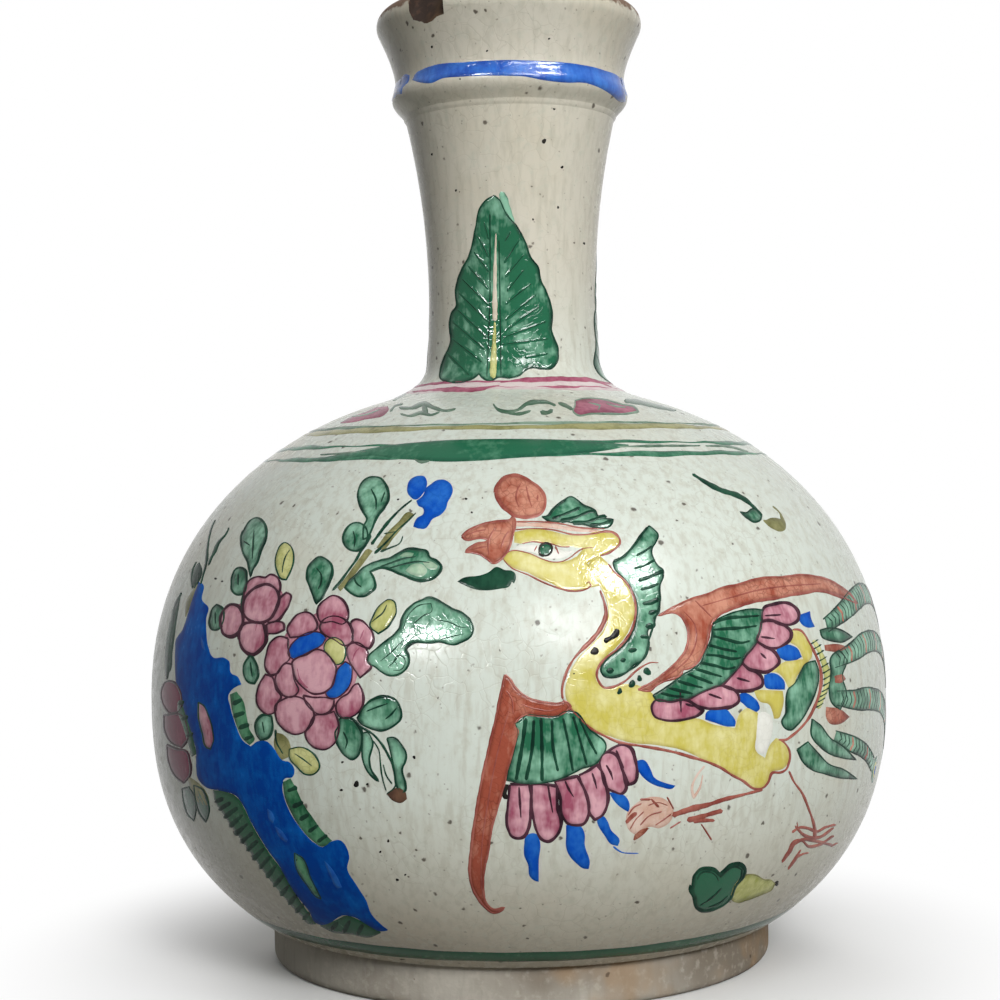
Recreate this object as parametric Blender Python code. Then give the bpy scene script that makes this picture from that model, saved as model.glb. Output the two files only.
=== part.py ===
"""Bottle vase: a globular body on a low foot, a waisted neck, a raised collar and a rolled, chipped lip.

A vase like this is thrown in sections, which are trimmed and then joined with slip before glazing.
Each section is a turned solid: its wall is an outline in the plane of radius and height, spun round Z.
Units are metres, +Z is up, and the vase stands on z = 0 with its painted front towards -Y.
"""
from math import acos, asin, cos, pi, radians, sin, sqrt

import bmesh
import bpy
from mathutils import Vector
from mathutils.geometry import interpolate_bezier

MM = 0.001

# Joints between the sections
SLIP_GAP = 0.3 * MM          # slip layer between two sections
SEAM_BEVEL = 1.6 * MM        # slant of a seam across its wall, which centres the upper section

# Foot ring
FOOT_RADIUS = 71.0 * MM
FOOT_HEIGHT = 11.4 * MM
FOOT_WIDTH = 6.6 * MM        # width at the standing face
FOOT_DRAFT = 1.4 * MM        # how much the inner wall leans in towards the base
FOOT_ROUND = 1.8 * MM        # rounding of the lower outer edge
FOOT_CHAMFER = 0.6 * MM      # broken edge under the groove

# Body
BODY_WALL = 5.0 * MM
BELLY_RADIUS = 104.4 * MM
LOWER_BODY_HEIGHT = 62.1 * MM
LOWER_POWER = 2.4            # fullness of the lower swell, 2 is an ellipse
UPPER_BODY_HEIGHT = 82.9 * MM
UPPER_POWER = 2.15           # fullness of the shoulder
BODY_OVERHANG = 4.0 * MM     # how far the body stands out over the foot ring
GROOVE_HEIGHT = 0.9 * MM     # rounded edge of the body over the foot ring
GROOVE_DEPTH = 2.6 * MM
BASE_DROP = 3.0 * MM         # how far the base reaches down inside the foot ring
BASE_THICKNESS = 6.2 * MM
BASE_DOME = 1.2 * MM         # the base is pushed up a little at its centre
INNER_HEEL = 9.0 * MM        # rounding between the inner wall and the base

# Neck
NECK_WALL = 4.0 * MM
NECK_ROOT_RADIUS = 40.0 * MM
NECK_WAIST_RADIUS = 24.1 * MM
NECK_TOP_RADIUS = 31.0 * MM
NECK_LENGTH = 85.3 * MM
NECK_WAIST_RISE = 30.3 * MM  # height of the narrowest place above the neck's root
NECK_COVE_RISE = 12.8 * MM   # height of the cove between shoulder and neck

# Collar
COLLAR_SWELL = 2.9 * MM      # how far its crest stands out past the neck's top
COLLAR_DROP = 3.4 * MM       # reach below the seam between neck and mouth
COLLAR_RISE = 6.4 * MM       # reach above it
COLLAR_EDGE = 0.9 * MM       # thickness of the lower edge

# Mouth
MOUTH_HEIGHT = 27.4 * MM
MOUTH_STEP = 1.9 * MM        # how far the mouth's root stands out past the neck's top
LIP_FLARE = 5.2 * MM         # how far the lip stands out past the mouth's root
LIP_ROLL = 4.6 * MM          # radius of the rolled lip's section
LIP_MEETING_ANGLE = radians(25)

# Chip in the lip
CHIP_ANGLE = radians(-37)    # from the front, towards +X
CHIP_WIDTH = 14.5 * MM
CHIP_HEIGHT = 21.0 * MM
CHIP_DEPTH = 4.4 * MM
CHIP_LEAN = radians(24)      # the break runs down and outwards
CHIP_CHATTER = 0.05          # unevenness of the break, as a share of its size

SEGMENTS = 56                # facets round the axis


def swell_radius(height, radius, depth, power):
    """Radius of a swelling wall at a height above or below its widest line."""
    return radius * (1 - (height / depth) ** power) ** (1 / power)


def swell_depth(radius, widest, power, height):
    """Depth of the swell whose wall has the given radius at the given height from its widest line."""
    return height / (1 - (radius / widest) ** power) ** (1 / power)


def swell_height(radius, widest, depth, power):
    """Height from the widest line at which a swelling wall has narrowed to the radius."""
    return depth * (1 - (radius / widest) ** power) ** (1 / power)


def swell(widest, depth, power, end_radius, steps):
    """Points (radius, height) on a swelling wall, from its widest line to where it narrows to end_radius."""
    last_turn = acos((end_radius / widest) ** (power / 2))
    turns = [last_turn * step / steps for step in range(steps + 1)]
    return [(widest * cos(turn) ** (2 / power), depth * sin(turn) ** (2 / power)) for turn in turns]


def curve(start, start_handle, end_handle, end, steps):
    """Points on a curve from start to end, pulled by two handles."""
    corners = [Vector(corner) for corner in (start, start_handle, end_handle, end)]
    return [tuple(point) for point in interpolate_bezier(*corners, steps + 1)]


def arc(centre, radius, start_angle, end_angle, steps):
    """Points on a round stretch in the plane of radius and height."""
    angles = [start_angle + (end_angle - start_angle) * step / steps for step in range(steps + 1)]
    return [(centre[0] + radius * cos(angle), centre[1] + radius * sin(angle)) for angle in angles]


def lifted(points, height):
    return [(radius, height + rise) for radius, rise in points]


def mirrored(points, height):
    return [(radius, height - rise) for radius, rise in points]


def slanted_gap(run, rise):
    """Slip gap measured along the run, for a seam that rises across it."""
    return SLIP_GAP * sqrt(1 + (rise / run) ** 2)


def turned(name, outline, material, closed=True):
    """Spin an outline round Z. A closed outline makes a ring, an open one starts and ends on the axis."""
    mesh = bpy.data.meshes.new(name)
    shape = bmesh.new()
    corners = [shape.verts.new((radius, 0, height)) for radius, height in outline]
    edges = [shape.edges.new(pair) for pair in zip(corners, corners[1:])]
    if closed:
        edges.append(shape.edges.new((corners[-1], corners[0])))
    bmesh.ops.spin(shape, geom=corners + edges, axis=(0, 0, 1), cent=(0, 0, 0),
                   angle=2 * pi, steps=SEGMENTS, use_merge=True)
    bmesh.ops.remove_doubles(shape, verts=shape.verts, dist=0.01 * MM)
    bmesh.ops.recalc_face_normals(shape, faces=shape.faces)
    shape.to_mesh(mesh)
    shape.free()
    mesh.materials.append(material)
    mesh.shade_smooth()
    mesh.set_sharp_from_angle(angle=radians(32))
    section = bpy.data.objects.new(name, mesh)
    bpy.context.collection.objects.link(section)
    return section


def clay_material(name, colour, roughness, coat=0.0):
    material = bpy.data.materials.new(name)
    material.use_nodes = True
    material.diffuse_color = (*colour, 1)
    shader = material.node_tree.nodes["Principled BSDF"]
    shader.inputs["Base Color"].default_value = (*colour, 1)
    shader.inputs["Roughness"].default_value = roughness
    shader.inputs["Metallic"].default_value = 0.0
    shader.inputs["Coat Weight"].default_value = coat
    return material


def make_foot_ring():
    inner_foot = FOOT_RADIUS - FOOT_WIDTH
    outline = [(inner_foot, 0), (FOOT_RADIUS - FOOT_ROUND, 0)]
    outline += arc((FOOT_RADIUS - FOOT_ROUND, FOOT_ROUND), FOOT_ROUND, radians(-60), 0, 3)
    outline += [(FOOT_RADIUS, FOOT_HEIGHT - FOOT_CHAMFER), (FOOT_RADIUS - FOOT_CHAMFER, FOOT_HEIGHT)]
    outline += [(inner_foot - FOOT_DRAFT, FOOT_HEIGHT)]
    return turned("foot_ring", outline, clay_material("bare_clay", (0.47, 0.37, 0.28), 0.85))


def lower_swell():
    """Seat height, belly height, outer depth and inner depth of the lower body."""
    seat = FOOT_HEIGHT + SLIP_GAP
    edge = seat + GROOVE_HEIGHT
    belly = seat + LOWER_BODY_HEIGHT
    depth = swell_depth(FOOT_RADIUS + BODY_OVERHANG, BELLY_RADIUS, LOWER_POWER, belly - edge)
    return seat, belly, depth, depth - BODY_WALL


def make_lower_body(glaze):
    seat, belly, depth, inner_depth = lower_swell()
    edge_radius = FOOT_RADIUS + BODY_OVERHANG
    inner_belly = BELLY_RADIUS - BODY_WALL
    boss_radius = FOOT_RADIUS - FOOT_WIDTH - FOOT_DRAFT - SLIP_GAP
    underside = seat - BASE_DROP
    floor = underside + BASE_THICKNESS
    heel_height = floor + INNER_HEEL / 2
    heel_radius = swell_radius(belly - heel_height, inner_belly, inner_depth, LOWER_POWER)

    outer = mirrored(swell(BELLY_RADIUS, depth, LOWER_POWER, edge_radius, 13), belly)
    groove = curve(outer[-1], (edge_radius - GROOVE_HEIGHT, seat + GROOVE_HEIGHT / 3),
                   (edge_radius - GROOVE_DEPTH / 2, seat), (edge_radius - GROOVE_DEPTH, seat), 3)
    base = [(boss_radius, seat), (boss_radius - FOOT_CHAMFER, underside), (0, underside + BASE_DOME)]
    heel = curve((heel_radius - INNER_HEEL, floor), (heel_radius - INNER_HEEL / 2, floor),
                 (heel_radius - INNER_HEEL / 8, heel_height - INNER_HEEL / 6), (heel_radius, heel_height), 3)
    inner = mirrored(swell(inner_belly, inner_depth, LOWER_POWER, heel_radius, 9), belly)
    inner[0] = (inner_belly, belly - SEAM_BEVEL)

    outline = [(0, floor + BASE_DOME)] + heel + inner[-2::-1] + outer + groove[1:] + base
    return turned("lower_body", outline, glaze, closed=False)


def upper_swell():
    """Belly height, outer depth and inner depth of the upper body, and the height of the neck's root."""
    belly = lower_swell()[1]
    depth = swell_depth(NECK_ROOT_RADIUS, BELLY_RADIUS, UPPER_POWER, UPPER_BODY_HEIGHT)
    return belly, depth, depth - BODY_WALL, belly + UPPER_BODY_HEIGHT


def make_upper_body(glaze):
    belly, depth, inner_depth, root = upper_swell()
    gap = slanted_gap(BODY_WALL, SEAM_BEVEL)
    inner_belly = BELLY_RADIUS - BODY_WALL
    outer = lifted(swell(BELLY_RADIUS, depth, UPPER_POWER, NECK_ROOT_RADIUS, 15), belly)
    inner = lifted(swell(inner_belly, inner_depth, UPPER_POWER, NECK_ROOT_RADIUS - SEAM_BEVEL, 11), belly)
    outer[0] = (BELLY_RADIUS, belly + gap)
    inner[0] = (inner_belly, belly - SEAM_BEVEL + gap)
    return turned("upper_body", outer + inner[::-1], glaze)


def neck_radius(rise):
    """Outer radius of the neck at a rise above its root, over the cove."""
    share = (rise - NECK_WAIST_RISE) / (NECK_LENGTH - NECK_WAIST_RISE)
    return NECK_WAIST_RADIUS + (NECK_TOP_RADIUS - NECK_WAIST_RADIUS) * share ** 2


def neck_wall(root_radius, root_rise, cove_rise, thinner, cove_steps, wall_steps):
    """Points up one side of the neck, from its root over the cove to the top."""
    cove_radius = neck_radius(cove_rise) - thinner
    reach = root_radius - cove_radius
    drop = cove_rise - root_rise
    points = curve((root_radius, root_rise), (root_radius - 0.55 * reach, root_rise + 0.15 * reach),
                   (cove_radius, cove_rise - 0.6 * drop), (cove_radius, cove_rise), cove_steps)
    for step in range(1, wall_steps + 1):
        rise = cove_rise + (NECK_LENGTH - cove_rise) * step / wall_steps
        points.append((neck_radius(rise) - thinner, rise))
    return points


def make_neck(glaze):
    belly, depth, inner_depth, root = upper_swell()
    gap = slanted_gap(BODY_WALL, SEAM_BEVEL)
    outer_root = NECK_ROOT_RADIUS - gap
    inner_root = NECK_ROOT_RADIUS - SEAM_BEVEL - gap
    outer_rise = belly + swell_height(outer_root, BELLY_RADIUS, depth, UPPER_POWER) - root
    inner_rise = belly + swell_height(inner_root, BELLY_RADIUS - BODY_WALL, inner_depth, UPPER_POWER) - root
    outer = neck_wall(outer_root, outer_rise, NECK_COVE_RISE, 0, 7, 10)
    inner = neck_wall(inner_root, inner_rise, NECK_COVE_RISE - NECK_WALL / 2, NECK_WALL, 5, 7)
    return turned("neck", lifted(outer, root) + lifted(inner[::-1], root), glaze)


def make_collar(enamel):
    seam = upper_swell()[3] + NECK_LENGTH
    bottom = seam - COLLAR_DROP
    top = seam + COLLAR_RISE
    bore = NECK_TOP_RADIUS + SLIP_GAP
    mouth_root = NECK_TOP_RADIUS + MOUTH_STEP
    crest_radius = NECK_TOP_RADIUS + COLLAR_SWELL
    lower_bore = neck_radius(NECK_LENGTH - COLLAR_DROP) + SLIP_GAP
    lower_edge = lower_bore + COLLAR_EDGE
    crest = (crest_radius, seam + 0.3 * COLLAR_RISE)
    outline = [(lower_bore, bottom), (lower_edge, bottom)]
    outline += curve((lower_edge, bottom), (lower_edge, bottom + 0.4 * COLLAR_DROP),
                     (crest_radius, crest[1] - 0.6 * COLLAR_DROP), crest, 5)[1:]
    outline += curve(crest, (crest_radius, crest[1] + 0.3 * COLLAR_RISE),
                     (mouth_root, top - 0.4 * COLLAR_RISE), (mouth_root, top), 4)[1:]
    outline += [(bore, top), (bore, seam)]
    return turned("collar_ring", outline, enamel)


def make_mouth(glaze):
    seam = upper_swell()[3] + NECK_LENGTH + SLIP_GAP
    shelf = seam + COLLAR_RISE
    root_radius = NECK_TOP_RADIUS + MOUTH_STEP
    lip_radius = root_radius + LIP_FLARE
    roll_centre = (lip_radius - LIP_ROLL, seam - SLIP_GAP + MOUTH_HEIGHT - LIP_ROLL)
    roll = arc(roll_centre, LIP_ROLL, -LIP_MEETING_ANGLE, pi, 9)
    pull = 0.3 * (roll[0][1] - shelf)
    below_lip = (roll[0][0] - pull * sin(LIP_MEETING_ANGLE), roll[0][1] - pull * cos(LIP_MEETING_ANGLE))
    flare = curve((root_radius, shelf), (root_radius, shelf + pull), below_lip, roll[0], 6)
    throat = NECK_TOP_RADIUS - NECK_WALL
    inside = curve(roll[-1], (roll[-1][0], roll_centre[1] - MOUTH_HEIGHT / 3),
                   (throat, seam + MOUTH_HEIGHT / 3), (throat, seam), 5)
    outline = [(NECK_TOP_RADIUS, seam), (NECK_TOP_RADIUS, shelf)] + flare + roll[1:] + inside[1:]
    mouth = turned("mouth_rim", outline, glaze)
    cut = mouth.modifiers.new("chip", "BOOLEAN")
    cut.object = make_chip_cutter(lip_radius, roll_centre[1])
    return mouth


def make_chip_cutter(lip_radius, height):
    """A faceted lump whose face leaves the shell-shaped break on the outside of the lip."""
    shape = bmesh.new()
    bmesh.ops.create_icosphere(shape, subdivisions=2, radius=0.5)
    for corner in shape.verts:
        chatter = sin(11 * corner.co.x + 7 * corner.co.z) * cos(9 * corner.co.y + 5 * corner.co.z)
        corner.co *= 1 + CHIP_CHATTER * chatter
    mesh = bpy.data.meshes.new("chip_cutter")
    shape.to_mesh(mesh)
    shape.free()
    cutter = bpy.data.objects.new("chip_cutter", mesh)
    bpy.context.collection.objects.link(cutter)
    cutter.scale = (CHIP_WIDTH, 3 * CHIP_DEPTH, CHIP_HEIGHT)
    distance = lip_radius + 0.5 * CHIP_DEPTH
    cutter.location = (distance * sin(CHIP_ANGLE), -distance * cos(CHIP_ANGLE), height + 0.35 * LIP_ROLL)
    cutter.rotation_euler = (-CHIP_LEAN, 0, CHIP_ANGLE)
    cutter.display_type = "WIRE"
    cutter.hide_render = True
    return cutter


def main():
    for old in list(bpy.data.objects):
        bpy.data.objects.remove(old)
    glaze = clay_material("cream_glaze", (0.62, 0.59, 0.50), 0.18, coat=0.6)
    blue_enamel = clay_material("blue_enamel", (0.02, 0.13, 0.52), 0.2, coat=0.5)
    make_foot_ring()
    make_lower_body(glaze)
    make_upper_body(glaze)
    make_neck(glaze)
    make_collar(blue_enamel)
    make_mouth(glaze)


main()
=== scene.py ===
from math import acos, cos, pi, radians, sin, sqrt

import bpy
import numpy as np
from mathutils import Matrix, Vector
from mathutils.geometry import delaunay_2d_cdt, interpolate_bezier


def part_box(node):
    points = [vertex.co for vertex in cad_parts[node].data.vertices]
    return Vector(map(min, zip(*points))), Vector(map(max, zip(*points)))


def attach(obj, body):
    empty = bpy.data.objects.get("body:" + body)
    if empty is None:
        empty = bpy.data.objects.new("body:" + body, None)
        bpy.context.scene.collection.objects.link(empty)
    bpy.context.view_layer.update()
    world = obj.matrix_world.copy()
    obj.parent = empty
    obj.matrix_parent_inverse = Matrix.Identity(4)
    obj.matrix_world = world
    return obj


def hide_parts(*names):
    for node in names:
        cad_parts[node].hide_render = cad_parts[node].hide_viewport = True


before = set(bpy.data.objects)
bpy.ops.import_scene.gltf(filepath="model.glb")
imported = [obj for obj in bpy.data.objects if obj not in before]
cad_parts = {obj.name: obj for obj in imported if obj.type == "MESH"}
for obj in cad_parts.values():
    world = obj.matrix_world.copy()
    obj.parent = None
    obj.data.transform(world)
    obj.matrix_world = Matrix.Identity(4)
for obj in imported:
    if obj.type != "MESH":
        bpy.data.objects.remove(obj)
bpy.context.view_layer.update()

# Looks of a bottle vase: thrown and glazed walls, enamels painted over the glaze, floor, lamps and camera.
# Units are metres, +Z is up, and the painted front faces -Y.
MM = 0.001

# Sizes of the thrown sections, as the frame has them
FOOT_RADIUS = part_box("foot_ring")[1].x
FOOT_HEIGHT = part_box("foot_ring")[1].z
FOOT_WIDTH = 6.6 * MM
BODY_WALL = 5 * MM
BELLY_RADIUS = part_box("lower_body")[1].x
SLIP_GAP = 0.3 * MM
SEAT = FOOT_HEIGHT + SLIP_GAP
BELLY_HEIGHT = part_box("lower_body")[1].z
EDGE_RADIUS = FOOT_RADIUS + 4 * MM
EDGE_HEIGHT = SEAT + 0.9 * MM
LOWER_POWER = 2.4
UPPER_POWER = 2.15
ROOT_RADIUS = 40 * MM
ROOT_HEIGHT = BELLY_HEIGHT + 82.9 * MM
WAIST_RADIUS = 24.1 * MM
WAIST_RISE = 30.3 * MM
COVE_RISE = 12.8 * MM
NECK_TOP_RADIUS = 31 * MM
NECK_LENGTH = 85.3 * MM
NECK_WALL = 4 * MM
ROOT_SLANT = 1.6 * MM
COLLAR_SINK = 0.06 * MM
SEAM_HEIGHT = ROOT_HEIGHT + NECK_LENGTH
COLLAR_LOW = SEAM_HEIGHT - 4.8 * MM
COLLAR_TOP = SEAM_HEIGHT + 6.4 * MM
COLLAR_CREST = (33.9 * MM, SEAM_HEIGHT + 1.9 * MM)
MOUTH_ROOT_RADIUS = 32.9 * MM
LIP_RADIUS = 38.1 * MM
LIP_ROLL = 4.6 * MM
LIP_TURN = radians(25)
TOP_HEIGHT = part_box("mouth_rim")[1].z
SPIN_STEPS = 240
SMOOTH_BELOW = radians(38)

# Where the vase is looked at from, and the sheet that the painting is drawn on. One sheet unit is a
# thousandth of the picture's width, across and down, and the sheet stands upright in the vase's axis.
VIEW_DISTANCE = 549.9 * MM
EYE_HEIGHT = 134 * MM
LENS = 68.4
HEAD_TILT = radians(-0.8)
SHEET_UNIT = 0.2894 * MM
AXIS_COLUMN = 515.2
MIDDLE_ROW = 500
EYE_ROW = 482


def shown(red, green, blue):
    """A colour as it looks on a screen, 0 to 255, as the renderer's own numbers."""
    parts = [value / 255 for value in (red, green, blue)]
    return tuple(part / 12.92 if part <= 0.04045 else ((part + 0.055) / 1.055) ** 2.4
                 for part in parts) + (1.0,)


# Outlines of the thrown walls, as (radius, height)

def swell(widest, depth, power, end_radius, steps):
    """Half of the belly's outline, from its widest line to a radius, as heights away from that line."""
    last_turn = acos((end_radius / widest) ** (power / 2))
    turns = [last_turn * step / steps for step in range(steps + 1)]
    return [(widest * cos(turn) ** (2 / power), depth * sin(turn) ** (2 / power)) for turn in turns]


def curve(start, start_handle, end_handle, end, steps):
    corners = [Vector(corner) for corner in (start, start_handle, end_handle, end)]
    return [tuple(point) for point in interpolate_bezier(*corners, steps + 1)]


def arc(centre, radius, start_angle, end_angle, steps):
    angles = [start_angle + (end_angle - start_angle) * step / steps for step in range(steps + 1)]
    return [(centre[0] + radius * cos(angle), centre[1] + radius * sin(angle)) for angle in angles]


def depth_of_swell(radius, widest, power, height):
    return height / (1 - (radius / widest) ** power) ** (1 / power)


LOWER_DEPTH = depth_of_swell(EDGE_RADIUS, BELLY_RADIUS, LOWER_POWER, BELLY_HEIGHT - EDGE_HEIGHT)
UPPER_DEPTH = depth_of_swell(ROOT_RADIUS, BELLY_RADIUS, UPPER_POWER, ROOT_HEIGHT - BELLY_HEIGHT)


def neck_radius(rise):
    """The neck's outer radius at a height above its root, above the cove."""
    share = (rise - WAIST_RISE) / (NECK_LENGTH - WAIST_RISE)
    return WAIST_RADIUS + (NECK_TOP_RADIUS - WAIST_RADIUS) * share ** 2


def neck_side(root_radius, cove_rise, thinner, steps):
    """One side of the neck's wall: the cove at its root, and then the waisted tube."""
    cove_radius = neck_radius(cove_rise) - thinner
    reach = root_radius - cove_radius
    points = curve((root_radius, 0), (root_radius - 0.55 * reach, 0.15 * reach),
                   (cove_radius, 0.4 * cove_rise), (cove_radius, cove_rise), steps // 4)
    for step in range(1, steps + 1):
        rise = cove_rise + (NECK_LENGTH - cove_rise) * step / steps
        points.append((neck_radius(rise) - thinner, rise))
    return [(radius, ROOT_HEIGHT + rise) for radius, rise in points]


lower_out = [(r, BELLY_HEIGHT - h)
             for r, h in swell(BELLY_RADIUS, LOWER_DEPTH, LOWER_POWER, EDGE_RADIUS, 64)][::-1]
upper_out = [(r, BELLY_HEIGHT + h)
             for r, h in swell(BELLY_RADIUS, UPPER_DEPTH, UPPER_POWER, ROOT_RADIUS, 76)]
neck_out = neck_side(ROOT_RADIUS, COVE_RISE, 0, 64)
collar_low_edge = (neck_radius(COLLAR_LOW - ROOT_HEIGHT) - COLLAR_SINK, COLLAR_LOW)
collar_out = curve(collar_low_edge, (collar_low_edge[0] + 0.8 * MM, COLLAR_LOW + 2.9 * MM),
                   (COLLAR_CREST[0], COLLAR_CREST[1] - 2.6 * MM), COLLAR_CREST, 14)
collar_out += curve(COLLAR_CREST, (COLLAR_CREST[0], COLLAR_CREST[1] + 1.9 * MM),
                    (MOUTH_ROOT_RADIUS, COLLAR_TOP - 2.6 * MM), (MOUTH_ROOT_RADIUS, COLLAR_TOP), 12)[1:]
lip_centre = (LIP_RADIUS - LIP_ROLL, TOP_HEIGHT - LIP_ROLL)
lip_out = arc(lip_centre, LIP_ROLL, -LIP_TURN, pi, 26)
lip_pull = 0.3 * (lip_out[0][1] - COLLAR_TOP)
mouth_out = curve((MOUTH_ROOT_RADIUS, COLLAR_TOP), (MOUTH_ROOT_RADIUS, COLLAR_TOP + lip_pull),
                  (lip_out[0][0] - lip_pull * sin(LIP_TURN), lip_out[0][1] - lip_pull * cos(LIP_TURN)),
                  lip_out[0], 18)

# The outside of the vase that is painted on, from the body's lower edge to the lip
painted_side = lower_out + upper_out[1:] + neck_out[1:]
painted_side = [point for point in painted_side if point[1] < COLLAR_LOW - 0.3 * MM]
painted_side += collar_out + mouth_out[1:] + lip_out[1:9]
WALL_HEIGHTS = np.array([height for radius, height in painted_side])
WALL_RADII = np.array([radius for radius, height in painted_side])


# Materials

def node(tree, kind, sockets=None, **settings):
    """Adds a node with its settings, and gives each named socket a value or joins it to another's output."""
    made = tree.nodes.new(kind)
    for name, value in settings.items():
        setattr(made, name, value)
    for name, value in (sockets or {}).items():
        if isinstance(value, bpy.types.NodeSocket):
            tree.links.new(value, made.inputs[name])
        else:
            made.inputs[name].default_value = value
    return made


def maths(tree, operation, first, second=0.0, clamp=False):
    return node(tree, "ShaderNodeMath", {0: first, 1: second},
                operation=operation, use_clamp=clamp).outputs[0]


def times(tree, first, second):
    return maths(tree, "MULTIPLY", first, second)


def blend(tree, amount, under, over):
    """Mixes two colours: a Mix node's colour sockets are its 7th and 8th, and its third output."""
    return node(tree, "ShaderNodeMix", {0: amount, 6: under, 7: over}, data_type="RGBA").outputs[2]


def steps_between(tree, value, low, high, low_value=0.0, high_value=1.0):
    return node(tree, "ShaderNodeMapRange", {0: value, 1: low, 2: high, 3: low_value, 4: high_value},
                interpolation_type="SMOOTHSTEP").outputs[0]


def noise(tree, place, scale, detail=2.0, roughness=0.5):
    made = node(tree, "ShaderNodeTexNoise",
                {"Vector": place, "Scale": scale, "Detail": detail, "Roughness": roughness})
    return made.outputs["Fac"]


def stretched(tree, place, scale):
    return node(tree, "ShaderNodeMapping", {"Vector": place, "Scale": scale}).outputs[0]


def new_effect(name, inputs, outputs):
    """An empty effect: a shader node group that takes a place and named numbers, and gives named numbers."""
    effect = bpy.data.node_groups.new(name, "ShaderNodeTree")
    effect.interface.new_socket(name="place", in_out="INPUT", socket_type="NodeSocketVector")
    for labels, way in ((inputs, "INPUT"), (outputs, "OUTPUT")):
        for label in labels:
            effect.interface.new_socket(name=label, in_out=way, socket_type="NodeSocketFloat")
    return effect, effect.nodes.new("NodeGroupInput").outputs, effect.nodes.new("NodeGroupOutput").inputs


def effect_node(tree, effect, **sockets):
    return node(tree, "ShaderNodeGroup", sockets, node_tree=effect).outputs


def ruffled(tree, place, scale, detail, push):
    """A place pushed about by a noise: a Mix node's vector sockets are its 5th and 6th, and 2nd output."""
    wander = node(tree, "ShaderNodeTexNoise",
                  {"Vector": place, "Scale": scale, "Detail": detail}).outputs["Color"]
    return node(tree, "ShaderNodeMix", {0: push, 4: place, 5: wander}, data_type="VECTOR").outputs[1]


def make_crackle():
    """Fine cracks in a glaze: a net of lines whose cells are a few millimetres across."""
    effect, given, result = new_effect("crackle", ["cells", "width"], ["lines"])
    bent = ruffled(effect, given["place"], 130.0, 2.0, 0.006)
    net = node(effect, "ShaderNodeTexVoronoi", {"Vector": bent, "Scale": given["cells"]},
               feature="DISTANCE_TO_EDGE")
    line = node(effect, "ShaderNodeMapRange",
                {0: net.outputs["Distance"], 1: 0.0, 2: given["width"], 3: 1.0, 4: 0.0})
    patchy = steps_between(effect, noise(effect, given["place"], 40.0), 0.35, 0.6, 0.15, 1.0)
    effect.links.new(times(effect, line.outputs[0], patchy), result["lines"])
    return effect


def make_specks():
    """Iron specks: dots scattered one to a cell, of differing size, with soft and slightly ragged edges."""
    effect, given, result = new_effect("iron_specks", ["cells", "size", "share"], ["specks", "halo"])
    bent = ruffled(effect, given["place"], 900.0, 1.0, 0.0009)
    dots = node(effect, "ShaderNodeTexVoronoi", {"Vector": bent, "Scale": given["cells"]})
    chance = node(effect, "ShaderNodeSeparateColor", {0: dots.outputs["Color"]})
    size = times(effect, given["size"], maths(effect, "POWER", chance.outputs[1], 1.6))
    distance = dots.outputs["Distance"]
    core = maths(effect, "SUBTRACT", 1.0,
                 maths(effect, "DIVIDE", distance, maths(effect, "ADD", size, 0.001)))
    picked = maths(effect, "LESS_THAN", chance.outputs[0], given["share"])
    core = steps_between(effect, core, 0.0, 0.55)
    halo = steps_between(effect, distance, 0.0, 0.42, 1.0, 0.0)
    effect.links.new(times(effect, core, picked), result["specks"])
    effect.links.new(times(effect, halo, picked), result["halo"])
    return effect


def make_clouds():
    """Uneven glaze: broad clouds, streaks that ran down in the kiln, and fine mottling, all about 0.5."""
    effect, given, result = new_effect("glaze_clouds", [], ["broad", "streaks", "fine"])
    place = given["place"]
    effect.links.new(noise(effect, place, 22.0, 3.0, 0.55), result["broad"])
    effect.links.new(noise(effect, stretched(effect, place, (1, 1, 0.16)), 520.0, 3.0, 0.6),
                     result["streaks"])
    effect.links.new(noise(effect, place, 420.0, 3.0, 0.6), result["fine"])
    return effect


CRACKLE = make_crackle()
SPECKS = make_specks()
CLOUDS = make_clouds()


def new_material(name, roughness, gloss):
    """A material with its shader, its own place as a vector, and the numbers that are the same all over."""
    material = bpy.data.materials.new(name)
    material.use_nodes = True
    tree = material.node_tree
    shader = tree.nodes["Principled BSDF"]
    shader.inputs["Roughness"].default_value = roughness
    shader.inputs["Specular IOR Level"].default_value = gloss
    place = node(tree, "ShaderNodeTexCoord").outputs["Object"]
    return material, tree, shader, place


def bumped(tree, shader, height, strength, distance):
    bump = node(tree, "ShaderNodeBump", {"Height": height, "Strength": strength, "Distance": distance})
    tree.links.new(bump.outputs[0], shader.inputs["Normal"])


# The glaze's colours, as they look on a screen
BODY_TINT = shown(212, 219, 209)
NECK_TINT = shown(208, 203, 188)
# a brownish stain with painted shade, laid darker and browner towards the foot
LOW_STAIN_AND_SHADE = shown(199, 184, 161)
WARM_CLOUD = shown(199, 189, 166)
STREAK = shown(176, 172, 154)
MOTTLE = shown(184, 186, 170)
CRACK = shown(150, 140, 118)
SPECK_HALO = shown(176, 168, 146)
IRON_SPECK = shown(64, 52, 42)
DUST_SPECK = shown(112, 102, 88)
LIP_CLAY = shown(104, 74, 56)
GLAZE_GLOSS = 0.12
CLAY_GLOSS = 0.15


def tinted(tree, colour, *tints):
    """Lays tints over a colour in turn, each where its mask is light, up to a share of its strength."""
    for mask, share, tint in tints:
        colour = blend(tree, times(tree, mask, share), colour, tint)
    return colour


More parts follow.
